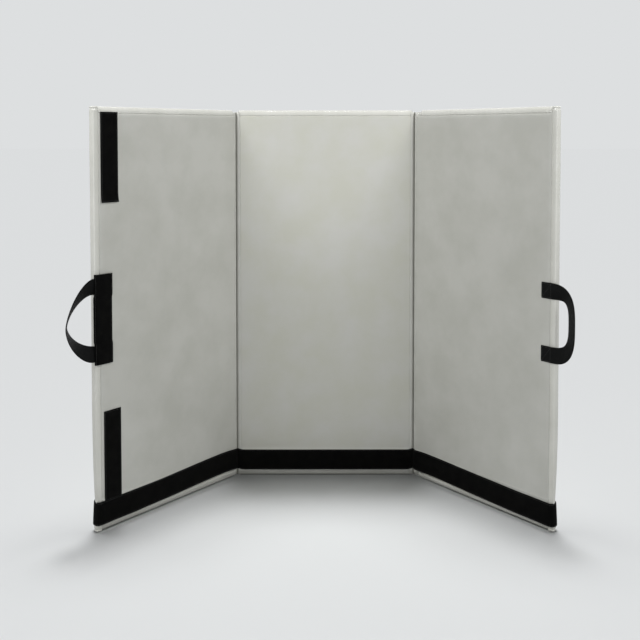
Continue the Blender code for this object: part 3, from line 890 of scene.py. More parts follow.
# (distance past the seam, depth below the right wing's face)
SEAM_ALLOWANCE = ((1.2 * MM, 1.6 * MM), (4 * MM, 2.8 * MM), (9 * MM, 3.0 * MM),
                  (16 * MM, 3.2 * MM))

for wing in (left, right):
    corner, to_centre, to_wing, back = fold_directions(wing)
    on_centre = crease_side(corner, to_centre, back, abs(corner[0]) - centre.seam_outer)
    on_wing = crease_side(corner, to_wing, back, VISIBLE_SEAM[wing.name] - vertex_across(wing))
    section = np.vstack((smooth_path(on_centre, FLAP_STATIONS), [corner + back * CREASE_DEPTH],
                         smooth_path(on_wing, FLAP_STATIONS)[::-1]))
    if wing is right:
        tuck = [on_wing[0] + to_wing * past - wing.front * sunk for past, sunk in SEAM_ALLOWANCE]
        section = np.vstack((section, tuck))
    edge = np.linspace(0, 1, len(section))
    heights = graded(FLAP_FOOT, centre.seam_high + FLAP_ABOVE_SEAM, *FLAP_STEPS)
    past_seam = np.maximum((heights - centre.seam_high) / (PAD_HEIGHT - centre.seam_high),
                           1 - heights / centre.seam_low)
    recess = (centre.seam_forward * (1 - np.sqrt(1 - np.clip(past_seam, 0, 1) ** 2))
              + dive(np.abs(heights - centre.seam_low), FOOT_SEAM_DIVE, FOOT_GROOVE))
    points = section[None, :, :] + heights[:, None, None] * np.array((0, 0, 1.0))
    points = points + recess[:, None, None] * back
    ripple = FLAP_RIPPLE * soft_noise(heights[:, None], edge[None, :] * 0.02, 0.03, 31)
    points = points + ripple[..., None] * np.array((0, 1.0, 0))
    run = distances(section)
    width = run[-1]
    if wing.side < 0:
        points, run = points[:, ::-1], run[::-1]
    name = wing.name + "_fold_cloth"
    flap = show(name, grid_mesh(name, points, run[None, :], heights[:, None]), grey_cloth)
    give_thickness(flap, CLOTH_THICKNESS)
    bend_at_fold(flap)
    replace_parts(flap, wing.name + "_fold_web")
    print(name, "width in mm:", round(width / MM, 1))

# %% [markdown]
# ## Black tape
# The tape along the foot and the three patches on the left wing are the looped half of a
# hook-and-loop tape, 50 mm wide. Nylon loops stand up from a woven back, so the face is a matt,
# slightly uneven pile that swallows light. The pile is under a millimetre deep: its grain is a bump
# of 1.2 mm, and worn places 20 mm across are a shade lighter.

# %% Looped tape
TAPE_BLACK = "#050505"
WORN_BLACK = "#0B0B0A"
LOOP_SIZE = 1.2 * MM
WORN_SIZE = 20 * MM

loop_tape, tree, shader = new_material("nylon_loop_tape")
in_space = add_node(tree, "ShaderNodeTexCoord").outputs["Object"]
loops = add_node(tree, "ShaderNodeTexNoise", {"Vector": in_space, "Scale": 1 / LOOP_SIZE,
                                             "Detail": 3.0, "Roughness": 0.7})
worn = add_node(tree, "ShaderNodeTexNoise", {"Vector": in_space, "Scale": 1 / WORN_SIZE,
                                            "Detail": 3.0})
tone = add_node(tree, "ShaderNodeMapRange", {"Value": worn.outputs[0], "From Min": 0.35,
                                             "From Max": 0.7})
pile = add_node(tree, "ShaderNodeMix", {0: tone.outputs[0], 6: linear(TAPE_BLACK),
                                       7: linear(WORN_BLACK)}, data_type="RGBA")
tree.links.new(pile.outputs[2], shader.inputs["Base Color"])
shader.inputs["Roughness"].default_value = 0.95
shader.inputs["Specular IOR Level"].default_value = 0.06
shader.inputs["Sheen Weight"].default_value = 0.01
fuzz = add_node(tree, "ShaderNodeBump", {"Height": loops.outputs[0], "Strength": 0.8,
                                         "Distance": 0.5 * MM})
tree.links.new(fuzz.outputs[0], shader.inputs["Normal"])
print("tape finish:", loop_tape.name)

# %% [markdown]
# ## Ribbons
# Tape and webbing are flat bands with a rounded edge. One helper sweeps such a section along a row
# of stations. Each station has a middle, a direction across the ribbon and a direction out of its
# face, so the same helper lays tape on a panel, round an edge, or twists a handle.

# %% Ribbon helper
RIBBON_COLUMNS = 15


def ribbon(name, middles, widths, normals, width, thickness, material, both_sides=False):
    """A closed ribbon. middles lie on its back face, or on its middle layer if both_sides."""
    place = np.sin(np.linspace(-1, 1, RIBBON_COLUMNS) * math.pi / 2)
    rounded = (1 - np.abs(place) ** 8) ** 0.5
    hem = 0.16 * thickness * np.exp(-((np.abs(place) - 0.86) / 0.05) ** 2)
    front = thickness * (0.35 + 0.65 * rounded) - hem
    back = np.zeros(RIBBON_COLUMNS)
    if both_sides:
        front = front - thickness / 2
        back = -front
    section = np.concatenate((np.stack((place, front), -1), np.stack((place, back), -1)[::-1]))
    side = section[:, 0] * width / 2
    points = (middles[:, None, :] + widths[:, None, :] * side[None, :, None]
              + normals[:, None, :] * section[:, 1][None, :, None])
    mesh = grid_mesh(name, points, distances(middles)[:, None], side[None, :], loop_columns=True)
    count = len(section)
    add_faces(mesh, [range(first, first + count) for first in (0, (len(middles) - 1) * count)],
              sharp_from=50)
    piece = show(name, mesh, material)
    face_outwards(piece)
    return piece


def level_normals(path):
    """Level directions square to a path that runs at one height."""
    step = unit(np.gradient(path, axis=0))
    return np.stack((step[:, 1], -step[:, 0], step[:, 2] * 0), -1)


# %% [markdown]
# ## Foot tape
# One length of tape runs along the foot of the whole pad, over both folds and round both outer
# edges. It bridges each fold in a shallow dip and is pulled up to a small peak there. It isn't
# quite level: from the outer edges it climbs a few millimetres to the folds. It is drawn a little
# wider than in the frame. A texture on the cloth would have no edge to catch the light, so the tape
# is a strip swept along a route over the faces. Two halves meet in the middle of the centre panel.

# %% Foot tape's sizes
TAPE_THICKNESS = 1.5 * MM
TAPE_LIFT = 0.3 * MM
tape_low, tape_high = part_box("centre_foot_tape")
TAPE_WIDTH = tape_high[2] - tape_low[2]
FOOT_STRIP_WIDTH = TAPE_WIDTH + 5.5 * MM
FOOT_TAPE_MIDDLE = TAPE_TOP - FOOT_STRIP_WIDTH / 2
TAPE_CLIMB = 8.0 * MM
TAPE_DROP = {"left": 2.0 * MM, "right": 5.5 * MM}
TAPE_STEP = 3 * MM
TAPE_BRIDGE = 6 * MM
TAPE_DIP = 1.2 * MM
TAPE_PEAK = 3 * MM
PEAK_REACH = 10 * MM
TAPE_LEAN = 0.06
LEAN_RUN = 8 * MM
WANDER = 0.35 * MM
SEWN_FROM_EDGE = 3 * MM
THREAD_SUNK = 0.15 * MM
print("foot tape in mm:", round(FOOT_STRIP_WIDTH / MM, 1), "wide, middle at",
      round(FOOT_TAPE_MIDDLE / MM, 1))


def round_tube(panel, angles, lift, waist=0.0):
    """(across, forward) places over a side tube, from the face at a quarter turn to the back."""
    power = np.where(angles > 0, 2 / TUBE_SQUARENESS, 1.0)
    wide = panel.outer - panel.seam_outer - waist + lift
    front = panel.half - panel.seam_forward
    deep = panel.seam_forward + lift + front * np.clip(np.sin(angles), 0, 1) ** 6
    return (panel.seam_outer + wide * np.abs(np.cos(angles)) ** power,
            deep * np.sign(np.sin(angles)) * np.abs(np.sin(angles)) ** power)


def foot_route(wing):
    """The tape's way on the floor's plane: half the centre panel, the fold, the wing, its edge."""
    corner, to_centre, to_wing, back = fold_directions(wing)
    on_centre = spot(centre, wing.side * np.arange(0, centre.seam_outer, TAPE_STEP), 0,
                     centre.half + TAPE_LIFT)
    over_fold = [corner + to_centre * TAPE_BRIDGE + centre.front * TAPE_LIFT,
                 corner + back * TAPE_DIP,
                 corner + to_wing * TAPE_BRIDGE + wing.front * TAPE_LIFT]
    flat = np.arange(VISIBLE_SEAM[wing.name] + 2 * MM, wing.seam_outer - 2 * MM, TAPE_STEP)
    across, forward = round_tube(wing, np.radians(np.linspace(88, -75, 40)), TAPE_LIFT,
                                 tube_waist(FOOT_TAPE_MIDDLE))
    on_wing = spot(wing, np.concatenate((flat, across)), 0,
                   np.concatenate((np.full(len(flat), wing.half + TAPE_LIFT), forward)))
    route = np.vstack((on_centre, over_fold, on_wing))
    length = distances(route)[-1]
    return smooth_path(route, round(length / TAPE_STEP)), length


# %% Foot tape
thread_runs = {"left_wing": [], "right_wing": [], "left_tape": [], "right_tape": []}
for wing in (left, right):
    corner, to_centre, to_wing, back = fold_directions(wing)
    route, length = foot_route(wing)
    run = np.linspace(0, length, len(route))
    peak = TAPE_PEAK * np.exp(-(np.linalg.norm(route - corner, axis=1) / PEAK_REACH) ** 2)
    normal = level_normals(route) * wing.side
    wander = WANDER * soft_noise(run, run * 0, 0.06, 41)
    share = np.clip((route - wing.hinge) @ wing.outward / wing.seam_outer, 0, 1)
    share = np.where((route - corner) @ to_wing > 0, share, 0)
    slant = ((TAPE_CLIMB * np.exp(-(share / 0.55) ** 2.5) - TAPE_DROP[wing.name])
             * (1 - np.exp(-share / 0.03)))
    route = route + np.array((0, 0, 1.0)) * (FOOT_TAPE_MIDDLE + wander + peak + slant)[:, None]
    beyond = np.clip(((route - wing.hinge) @ wing.outward - wing.seam_outer) / LEAN_RUN, 0, 1)
    up = unit(np.array((0, 0, 1.0)) - TAPE_LEAN * beyond[:, None] * wing.outward)
    name = wing.name + "_foot_strip"
    strip = ribbon(name, route, up, normal, FOOT_STRIP_WIDTH, TAPE_THICKNESS, loop_tape)
    bend_at_fold(strip)
    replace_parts(strip, "centre_foot_tape", wing.name + "_foot_tape", wing.name + "_fold_tape")
    for row in (-1, 1):
        seam = route + up * (FOOT_STRIP_WIDTH / 2 - SEWN_FROM_EDGE) * row
        thread_runs[wing.name + "_tape"].append(seam + normal * (TAPE_THICKNESS - THREAD_SUNK))
    print(name, "length in mm:", round(length / MM))

# %% [markdown]
# ## Top and lower patch
# Two short lengths of the same tape are sewn flat on the left wing, with a seam all round. The
# lower end of the top one curls away a little. The lower one ends under the foot tape. The same
# ribbon helper makes both, with straight routes.

# %% Top and lower patch
PATCH_SHIFTS = {"top": 0.0, "lower": 3.5 * MM}
PATCH_TUCK = 2.5 * MM
CURL_HEIGHT = 3.0 * MM
CURL_RUN = 28 * MM
for which, shift in PATCH_SHIFTS.items():
    node = node_points("left_" + which + "_patch") - left.hinge
    across, height = node @ left.outward + shift, node[:, 2]
    foot = height.min() - (PATCH_TUCK if which == "lower" else 0)
    rows = np.linspace(foot, height.max(), round(np.ptp(height) / TAPE_STEP))
    level = left.half + TAPE_LIFT
    curl = rows * 0
    if which == "top":
        curl = CURL_HEIGHT * np.clip(1 - (rows - rows[0]) / CURL_RUN, 0, 1) ** 2
    middles = spot(left, np.full(len(rows), (across.min() + across.max()) / 2), rows, level + curl)
    normal = np.tile(left.front, (len(rows), 1))
    wide = np.tile(left.outward, (len(rows), 1))
    name = "left_" + which + "_loop_patch"
    patch = ribbon(name, middles, wide, normal, TAPE_WIDTH, TAPE_THICKNESS, loop_tape)
    follow(patch, left)
    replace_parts(patch, "left_" + which + "_patch")
    near, far = across.min() + SEWN_FROM_EDGE, across.max() - SEWN_FROM_EDGE
    low, high = rows[0] + SEWN_FROM_EDGE, rows[-1] - SEWN_FROM_EDGE
    corners = np.array([(near, low), (far, low), (far, high), (near, high), (near, low)])
    steps = np.concatenate([np.linspace(a, b, 30, endpoint=False) for a, b in
                            zip(corners, corners[1:])] + [corners[-1:]])
    lifted = np.interp(steps[:, 1], rows, curl)
    thread_runs["left_wing"].append(spot(left, steps[:, 0], steps[:, 1],
                                         level + lifted + TAPE_THICKNESS - THREAD_SUNK))
    print(name, "size in mm:", round(np.ptp(across) / MM), "x", round(np.ptp(rows) / MM))

# %% [markdown]
# ## Middle patch
# The patch in the middle holds the handle's two ends down, so it lies high over each end and low
# between them. It also wraps the shoulder of the wing's edge. A flat ribbon can't do both, so it is
# a grid laid on that route and lifted over the webbing.

# %% Middle patch
WEBBING_WIDTH = 38 * MM
WEBBING_THICKNESS = 1.8 * MM
LEFT_HANDLE_SPACING = 158 * MM
PATCH_RAMP = 9.5 * MM
MIDDLE_PATCH_FROM_EDGE = 47.5 * MM

patch_points = node_points("left_middle_patch")
PATCH_FOOT, PATCH_TOP = patch_points[:, 2].min(), patch_points[:, 2].max()
LEFT_HANDLE_MIDDLE = joints["left_handle_swing"]["pos_m"][2]


def shoulder_route(panel, start, length, lift, count):
    """(across, forward) stations of a strip that starts on the face and wraps the edge roll."""
    across, forward = round_tube(panel, np.linspace(math.pi / 2, -math.pi / 2, 400), lift)
    across = np.concatenate(([start], across))
    forward = np.concatenate(([panel.half + lift], forward))
    run = distances(np.stack((across, forward), -1))
    even = np.linspace(0, length, count)
    return np.interp(even, run, across), np.interp(even, run, forward)


heights = np.linspace(PATCH_FOOT, PATCH_TOP, 107)
off_middle = np.abs(heights - LEFT_HANDLE_MIDDLE)
to_webbing = LEFT_HANDLE_SPACING / 2 - WEBBING_WIDTH / 2 - TAPE_LIFT - off_middle
raised = 1 - np.clip(to_webbing / PATCH_RAMP, 0, 1)
raised = raised * raised * (3 - 2 * raised)
lifts = TAPE_LIFT + raised * (WEBBING_THICKNESS + TAPE_LIFT)
middle_patch_start = left.outer - MIDDLE_PATCH_FROM_EDGE
rows = []
for height, lift in zip(heights, lifts):
    across, forward = shoulder_route(left, middle_patch_start, TAPE_WIDTH, lift, 28)
    rows.append(spot(left, across, height, forward)[::-1])
run = np.linspace(TAPE_WIDTH, 0, len(rows[0]))
middle_patch = show("left_middle_loop_patch",
                    grid_mesh("left_middle_loop_patch", np.array(rows), run[None, :],
                              heights[:, None]), loop_tape)
give_thickness(middle_patch, TAPE_THICKNESS, offset=1)
follow(middle_patch, left)
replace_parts(middle_patch, "left_middle_patch")
print("middle patch, mm:", round((PATCH_TOP - PATCH_FOOT) / MM), "rises by",
      round((WEBBING_THICKNESS + TAPE_LIFT) / MM, 1))

# %% [markdown]
# ## Webbing
# The handles are woven polyester webbing, 38 mm wide. Its warp runs along it in fine ribs, so it
# has a dull shine that breaks up in small steps. The ribs are 1 mm apart on the real webbing and
# are drawn at 2 mm.

# %% Woven webbing
WEBBING_BLACK = "#040505"
DUSTY_BLACK = "#080909"
DUST_SIZE = 15 * MM
RIB_SPACING = 2.0 * MM
WEFT_SPACING = 2.4 * MM

webbing, tree, shader = new_material("woven_polyester_webbing")
in_space = add_node(tree, "ShaderNodeTexCoord").outputs["Object"]
raised_threads = add_node(tree, "ShaderNodeBump",
                          {"Height": weave_height(tree, (RIB_SPACING, WEFT_SPACING)),
                           "Strength": 0.6, "Distance": 0.25 * MM})
tree.links.new(raised_threads.outputs[0], shader.inputs["Normal"])
dust = add_node(tree, "ShaderNodeTexNoise", {"Vector": in_space, "Scale": 1 / DUST_SIZE,
                                            "Detail": 3.0})
yarn = add_node(tree, "ShaderNodeMix", {0: dust.outputs[0], 6: linear(WEBBING_BLACK),
                                       7: linear(DUSTY_BLACK)}, data_type="RGBA")
tree.links.new(yarn.outputs[2], shader.inputs["Base Color"])
shader.inputs["Roughness"].default_value = 0.7
shader.inputs["Specular IOR Level"].default_value = 0.10
shader.inputs["Sheen Weight"].default_value = 0.02
print("webbing finish:", webbing.name)

# %% [markdown]
# ## Handles
# Each handle is one length of webbing. On the left its ends pass under the middle patch. On the
# right they are sewn flat on the face. Between its ends the webbing stands out from the wing and
# turns on itself, because the hand pulls it round. The turn is what makes it look narrow in the
# middle. A bent bevelled plate would show one width all round, so both handles come from one sweep
# whose section turns. The sweep is cut at the line on which the handle swings: its two sewn ends
# ride on the wing, and the loop rides on the handle's own body.

# %% The webbing's way
LOOP_STEPS = 90
LOOP_SAG = 6 * MM
Handle = namedtuple("Handle", "middle spacing reach droop twist squareness")
LEFT_HANDLE = Handle(LEFT_HANDLE_MIDDLE, LEFT_HANDLE_SPACING, 71 * MM, 9 * MM,
                     math.radians(50), 1.6)
RIGHT_HANDLE = Handle(joints["right_handle_swing"]["pos_m"][2], 150 * MM, 52 * MM, 0.0,
                      math.radians(31), 3.2)


def loop_stations(handle, root, level):
    """Middles and width directions of the free webbing, as (across, height, forward) rows."""
    power = 2 / handle.squareness

    def middle_at(turn):
        out = np.sin(turn) ** power
        up = np.copysign(np.abs(np.cos(turn)) ** power, np.cos(turn))
        height = handle.middle + handle.spacing / 2 * up - handle.droop * np.sin(turn) ** 2
        return np.stack((root + handle.reach * out, height, level - LOOP_SAG * np.sin(turn)), -1)

    turn = np.linspace(0, math.pi, LOOP_STEPS)
    sliver = math.pi / 96
    along = unit(middle_at(np.minimum(turn + sliver, math.pi))
                 - middle_at(np.maximum(turn - sliver, 0)))
    in_plane = unit(np.stack((-along[:, 1], along[:, 0], 0 * turn), -1))
    lean = handle.twist * np.sin(turn) ** 0.8
    width = in_plane * np.cos(lean)[:, None] + np.array((0, 0, 1)) * np.sin(lean)[:, None]
    return middle_at(turn), width


def even_stations(middles, widths, step):
    """The same ribbon with evenly spaced stations and unit directions."""
    run = distances(middles)
    even = np.linspace(0, run[-1], round(run[-1] / step))
    middles = np.stack([np.interp(even, run, middles[:, axis]) for axis in range(3)], -1)
    widths = np.stack([np.interp(even, run, widths[:, axis]) for axis in range(3)], -1)
    kernel = np.array((1, 2, 3, 2, 1)) / 9
    for axis in range(3):
        middles[2:-2, axis] = np.convolve(middles[:, axis], kernel, "valid")
        widths[2:-2, axis] = np.convolve(widths[:, axis], kernel, "valid")
    along = unit(np.gradient(middles, axis=0))
    widths = unit(widths - along * (widths * along).sum(1)[:, None])
    return middles, widths, np.cross(along, widths)


def to_world(panel, rows, place=True):
    """Rows of (across, height, forward) as points or, without place, as directions."""
    moved = (rows[:, :1] * panel.outward + rows[:, 1:2] * np.array((0, 0, 1.0))
             + rows[:, 2:] * panel.front)
    return moved + (panel.hinge + panel.middle * panel.front if place else 0)


# %% Handles
WEBBING_STEP = 2.5 * MM


def build_handle(panel, handle, root_rows, root, level):
    """One handle: a sweep cut at its swing line into a sewn end, the free loop and a sewn end."""
    loop, width = loop_stations(handle, root, level)
    ends = [np.insert(root_rows, 1, handle.middle + sign * handle.spacing / 2, axis=1)
            for sign in (1, -1)]
    up = np.tile((0, 1.0, 0), (len(root_rows), 1))
    middles = np.vstack((ends[0], loop[1:-1], ends[1][::-1]))
    widths = np.vstack((up, width[1:-1], -up))
    middles, widths, normals = even_stations(middles, widths, WEBBING_STEP)
    swing = np.array(joints[panel.name + "_handle_swing"]["pos_m"]) - panel.hinge
    free = np.flatnonzero(middles[:, 0] > swing @ panel.outward)
    first, last = free[0], free[-1]
    print(panel.name, "loop leaves its swing line by, in mm:",
          round((middles[first, 0] - swing @ panel.outward) / MM, 1),
          round((middles[first, 2] + panel.middle - swing @ panel.front) / MM, 1))
    cuts = {"upper_root": slice(0, first + 1), "loop": slice(first, last + 1),
            "lower_root": slice(last, len(middles))}
    for part, cut in cuts.items():
        name = panel.name + "_webbing_" + part
        piece = ribbon(name, to_world(panel, middles[cut]), to_world(panel, widths[cut], False),
                       to_world(panel, normals[cut], False), WEBBING_WIDTH, WEBBING_THICKNESS,
                       webbing, both_sides=True)
        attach(piece, panel.name + "_handle" if part == "loop" else panel.body)
        if part == "loop":
            spot(panel, middles[first, 0], handle.middle, level)
            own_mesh(piece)
        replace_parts(piece, panel.name + "_handle_" + part)
    print(panel.name, "handle's length in mm:", round(distances(middles)[-1] / MM))


ROOT_UNDER_PATCH = 6 * MM
RIGHT_ROOT_LENGTH = 30 * MM
RIGHT_ROOT_FROM_EDGE = 8 * MM
lift = TAPE_LIFT + WEBBING_THICKNESS / 2
across, forward = shoulder_route(left, middle_patch_start + ROOT_UNDER_PATCH,
                                 TAPE_WIDTH - ROOT_UNDER_PATCH, lift, 20)
build_handle(left, LEFT_HANDLE, np.stack((across, forward), -1), across[-1] + WEBBING_THICKNESS,
             forward[-1])
right_root = right.outer - RIGHT_ROOT_FROM_EDGE
level = right.half + lift
across = np.linspace(right_root - RIGHT_ROOT_LENGTH, right_root, 12)
build_handle(right, RIGHT_HANDLE, np.stack((across, 0 * across + level), -1), right_root, level)

# %% [markdown]
# ## Foam
# Each panel holds two sheets of foam: a firm closed-cell one behind the front, which spreads the
# load of a landing, and a soft open-cell one behind it. The cover hides them, but they give it its
# form, and they show when it is opened. Both are cut cells, so they are matt and finely pitted:
# small bluish pores in the firm one, larger ones in the yellowed soft one.

# %% Foam finishes
def foam(name, colour, pore, depth):
    """Expanded foam: a matt skin of cut cells of one size."""
    material, tree, shader = new_material(name)
    in_space = add_node(tree, "ShaderNodeTexCoord").outputs["Object"]
    cells = add_node(tree, "ShaderNodeTexVoronoi", {"Vector": in_space, "Scale": 1 / pore})
    tone = add_node(tree, "ShaderNodeMix", {0: cells.outputs["Distance"], 6: linear(colour[0]),
                                           7: linear(colour[1])}, data_type="RGBA")
    tree.links.new(tone.outputs[2], shader.inputs["Base Color"])
    shader.inputs["Roughness"].default_value = 0.9
    skin = add_node(tree, "ShaderNodeBump", {"Height": cells.outputs["Distance"], "Strength": 0.6,
                                             "Distance": depth})
    tree.links.new(skin.outputs[0], shader.inputs["Normal"])
    return material


firm_foam = foam("closed_cell_polyethylene_foam", ("#5A6F8E", "#4D607D"), 1.5 * MM, 0.2 * MM)
soft_foam = foam("open_cell_polyurethane_foam", ("#CDC4AE", "#B9AF97"), 2.5 * MM, 0.4 * MM)
print("foam finishes:", firm_foam.name, "and", soft_foam.name)

# %% [markdown]
# ## Foam sheets
# A sheet is cut flat and the cover rounds its outer side. A box with a bevel would be as flat on
# the outside as on the inside, so a sheet is one grid that goes over the rounded side and back over
# the flat one, with its two open sides closed.

# %% Foam sheets
FOAM_INSET = CLOTH_THICKNESS + 0.6 * MM
FOAM_GAP = 0.15 * MM
THINNEST_FOAM = 0.4 * MM
FOAM_STEPS = (0.8 * MM, 8 * MM, 26 * MM)


def foam_sheet(panel, facing, split, material, name):
    """One foam layer: flat where it meets the other, rounded towards the cover."""
    inn, out = panel.inner + FOAM_INSET, panel.outer - FOAM_INSET
    if panel is not centre:
        out = panel.seam_outer + 2 * FOAM_INSET
    low, high = FOAM_INSET, PAD_HEIGHT - FOAM_INSET
    reach_in, reach_out = panel.seam_inner - inn, out - panel.seam_outer
    reach_foot, reach_top = panel.seam_low - low + 3 * FOOT_SEAM_DIVE, high - panel.seam_high
    across, height = np.meshgrid(graded(inn, out, *FOAM_STEPS), graded(low, high, *FOAM_STEPS))
    at_side = np.maximum(1 - (across - inn) / reach_in, 1 - (out - across) / reach_out)
    at_end = np.maximum(1 - (height - low) / reach_foot, 1 - (high - height) / reach_top)
    off = np.clip((np.clip(at_side, 0, 1) ** 4 + np.clip(at_end, 0, 1) ** 4) ** 0.25, 0, 1)
    level = (panel.seam_forward - SEAM_DIVE - FOAM_INSET) * np.sqrt(1 - off**2)
    level = level - dive(np.abs(height - panel.seam_low), FOOT_SEAM_DIVE, 1.6 * FOOT_GROOVE)
    level = np.maximum(level, facing * split + THINNEST_FOAM)
    rounded = spot(panel, across, height, facing * level)
    flat = spot(panel, across, height, split + facing * FOAM_GAP)
    count, wide = across.shape
    mesh = grid_mesh(name, np.concatenate((rounded, flat[::-1])), across[0][None, :],
                     np.concatenate((height[:, 0], height[::-1, 0]))[:, None], loop_rows=True)
    rings = [[number * wide + column for number in
              (row, row + 1, 2 * count - 2 - row, 2 * count - 1 - row)]
             for column in (0, wide - 1) for row in range(count - 1)]
    add_faces(mesh, rings, sharp_from=40)
    sheet = show(name, mesh, material)
    face_outwards(sheet)
    return sheet


for panel in PANELS:
    firm_back = (node_points(panel.name + "_firm_foam") - panel.hinge) @ panel.front - panel.middle
    split = firm_back.min() - FOAM_GAP
    for facing, which, material in ((1, "firm", firm_foam), (-1, "soft", soft_foam)):
        sheet = foam_sheet(panel, facing, split, material, panel.name + "_" + which + "_core")
        follow(sheet, panel)
        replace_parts(sheet, panel.name + "_" + which + "_foam")
    print(panel.name, "foam meets", round(split / MM, 1), "mm in front of the middle")

# %% [markdown]
# ## Stitches
# Every tape is sewn down along its edges with black thread, a stitch every 4 mm. A stitch is a
# short thread that dips into the cloth at both ends, and twisted polyester has a slight sheen, so
# the rows glint on the matt tape. Geometry Nodes set one small body at each place along a seam
# line: the line is resampled, a stitch is turned along it, and all become one mesh. An array
# modifier could not follow the lines as easily.

# %% Sewing thread
THREAD_BLACK = "#1B1B1B"
THREAD_GREY = "#2A2A2A"
PLY_SIZE = 1.5 * MM

thread, tree, shader = new_material("polyester_sewing_thread")
in_space = add_node(tree, "ShaderNodeTexCoord").outputs["Object"]
ply = add_node(tree, "ShaderNodeTexNoise", {"Vector": in_space, "Scale": 1 / PLY_SIZE})
twist = add_node(tree, "ShaderNodeMix", {0: ply.outputs[0], 6: linear(THREAD_BLACK),
                                        7: linear(THREAD_GREY)}, data_type="RGBA")
tree.links.new(twist.outputs[2], shader.inputs["Base Color"])
shader.inputs["Roughness"].default_value = 0.5
print("thread finish:", thread.name)

# %% Stitch nodes
STITCH_SEGMENTS, STITCH_RINGS = 6, 5

stitch_tree = bpy.data.node_groups.new("run_of_stitches", "GeometryNodeTree")
for label, kind in (("Seam lines", "NodeSocketGeometry"), ("Spacing", "NodeSocketFloat"),
                    ("Stitch length", "NodeSocketFloat"), ("Thread thickness", "NodeSocketFloat"),
                    ("Unevenness", "NodeSocketFloat"), ("Seed", "NodeSocketInt"),
                    ("Thread", "NodeSocketMaterial")):
    stitch_tree.interface.new_socket(label, in_out="INPUT", socket_type=kind)
stitch_tree.interface.new_socket("Stitches", in_out="OUTPUT", socket_type="NodeSocketGeometry")
given = add_node(stitch_tree, "NodeGroupInput").outputs
lines = add_node(stitch_tree, "GeometryNodeMeshToCurve", {0: given["Seam lines"]})
places = add_node(stitch_tree, "GeometryNodeResampleCurve", {"Curve": lines.outputs[0],
                                                             "Length": given["Spacing"]},
                  mode="LENGTH")
along = add_node(stitch_tree, "GeometryNodeInputTangent")
turned = add_node(stitch_tree, "FunctionNodeAlignRotationToVector", {"Vector": along.outputs[0]},
                  axis="X")
less = add_node(stitch_tree, "ShaderNodeMath", {0: given["Unevenness"], 1: -1.0},
                operation="MULTIPLY")
one_way = add_node(stitch_tree, "ShaderNodeCombineXYZ", {2: less.outputs[0]})
other_way = add_node(stitch_tree, "ShaderNodeCombineXYZ", {2: given["Unevenness"]})
wobble = add_node(stitch_tree, "FunctionNodeRandomValue",
                  {0: one_way.outputs[0], 1: other_way.outputs[0], "Seed": given["Seed"]},
                  data_type="FLOAT_VECTOR")
uneven = add_node(stitch_tree, "FunctionNodeRotateRotation", {0: turned.outputs[0],
                                                             1: wobble.outputs[0]},
                  rotation_space="LOCAL")
size = add_node(stitch_tree, "ShaderNodeCombineXYZ", {0: given["Stitch length"],
                                                      1: given["Thread thickness"],
                                                      2: given["Thread thickness"]})
ball = add_node(stitch_tree, "GeometryNodeMeshUVSphere",
                {"Segments": STITCH_SEGMENTS, "Rings": STITCH_RINGS, "Radius": 0.5})
stitch = add_node(stitch_tree, "GeometryNodeTransform", {"Geometry": ball.outputs[0],
                                                         "Scale": size.outputs[0]})
set_out = add_node(stitch_tree, "GeometryNodeInstanceOnPoints", {"Points": places.outputs[0],
                                                                 "Instance": stitch.outputs[0],
                                                                 "Rotation": uneven.outputs[0]})
real = add_node(stitch_tree, "GeometryNodeRealizeInstances", {0: set_out.outputs[0]})
round_off = add_node(stitch_tree, "GeometryNodeSetShadeSmooth", {0: real.outputs[0]})
dyed = add_node(stitch_tree, "GeometryNodeSetMaterial", {"Geometry": round_off.outputs[0],
                                                         "Material": given["Thread"]})
add_node(stitch_tree, "NodeGroupOutput", {0: dyed.outputs[0]})
print(stitch_tree.name + ":", len(stitch_tree.nodes), "nodes")

# %% Sewing
STITCHES = {"Spacing": 4.0 * MM, "Stitch length": 3.2 * MM, "Thread thickness": 0.8 * MM,
            "Unevenness": 0.12, "Thread": thread}


def sew(name, runs, seed):
    """Stitches along rows of points, as one mesh."""
    mesh = bpy.data.meshes.new(name)
    points, edges = [], []
    for run in runs:
        first = len(points)
        points += [tuple(point) for point in run]
        edges += [(first + i, first + i + 1) for i in range(len(run) - 1)]
    mesh.from_pydata(points, edges, [])
    piece = show(name, mesh, thread)
    nodes = piece.modifiers.new("stitches", "NODES")
    nodes.node_group = stitch_tree
    values = {**STITCHES, "Seed": seed}
    for socket in stitch_tree.interface.items_tree:
        if socket.name in values:
            nodes[socket.identifier] = values[socket.name]
    set_modifiers(piece)
    print(name + ":", len(piece.data.polygons) // (STITCH_SEGMENTS * STITCH_RINGS), "stitches")
    return piece


# %% [markdown]
# ## Sewing the tapes down
# The foot tape is sewn along both edges, the top and the lower patch all round, the middle patch
# along its two long sides, and each end of the right handle with a box and a diagonal. The first
# rows were noted when their tape was made. The others follow the same routes as their pieces.

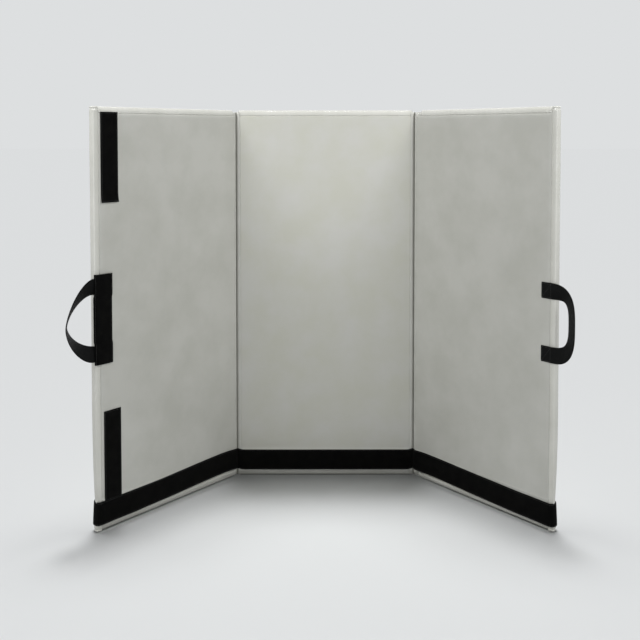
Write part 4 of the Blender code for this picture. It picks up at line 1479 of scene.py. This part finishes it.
# %% Sew the tapes down
ROUTE_STEPS = 50
level = right.half + TAPE_LIFT + WEBBING_THICKNESS - 0.1 * MM
half = WEBBING_WIDTH / 2 - SEWN_FROM_EDGE
start, end = right_root - RIGHT_ROOT_LENGTH + SEWN_FROM_EDGE, right_root - SEWN_FROM_EDGE
for sign in (1, -1):
    middle = RIGHT_HANDLE.middle + sign * RIGHT_HANDLE.spacing / 2
    low, high = middle - half, middle + half
    box = np.array([(start, low), (end, low), (end, high), (start, high), (start, low),
                    (end, high)])
    thread_runs["right_wing"].append(spot(right, box[:, 0], box[:, 1], level))
for share in (SEWN_FROM_EDGE, TAPE_WIDTH - SEWN_FROM_EDGE):
    index = round(share / TAPE_WIDTH * ROUTE_STEPS)
    rows = []
    for height, lift in zip(heights[2:-2], lifts[2:-2]):
        across, forward = shoulder_route(left, middle_patch_start, TAPE_WIDTH,
                                         lift + TAPE_THICKNESS - THREAD_SUNK, ROUTE_STEPS + 1)
        rows.append(spot(left, across[index], height, forward[index]))
    thread_runs["left_wing"].append(np.array(rows).reshape(-1, 3))

for wing in (left, right):
    stitches = sew(wing.name + "_foot_strip_stitches", thread_runs[wing.name + "_tape"], 7)
    bend_at_fold(stitches)
for wing in (left, right):
    stitches = sew(wing.name + "_patch_stitches", thread_runs[wing.name + "_wing"], 9)
    follow(stitches, wing)

# %% [markdown]
# ## What two of the lamps reach
# In the studio the lamps' rays run along the wings, so the wings leave the floor between them
# light. The centre lamp passes the wings' cloth and foam for that. Their rolls, tubes and tapes
# still hold its light back, which keeps a dark line where the pad stands on the floor. The edge
# softbox lights the two side tubes and nothing else, and gives each its long highlight. These lists
# name finished pieces, so they come last.

# %% Light linking
passed = bpy.data.collections.new("passed_by_one_lamp")
edges = bpy.data.collections.new("side_tubes")
for wing in (left, right):
    edges.objects.link(bpy.data.objects[wing.name + "_side_tube"])
    for part in ("_front_cloth", "_back_cloth", "_firm_core", "_soft_core"):
        passed.objects.link(bpy.data.objects[wing.name + part])
for link in passed.collection_objects:
    link.light_linking.link_state = "EXCLUDE"
bpy.data.objects["centre_lamp"].light_linking.blocker_collection = passed
bpy.data.objects["edge_softbox"].light_linking.receiver_collection = edges

# %% [markdown]
# ## Finish
# The last cell says whether a piece of the frame is left without a dressed one. The dressed
# pad may be only a little larger.

# %% Finish
missing = sorted(name for name, node in frame["nodes"].items() if not node.hide_render)
print("frame pieces still showing:", missing or "none")
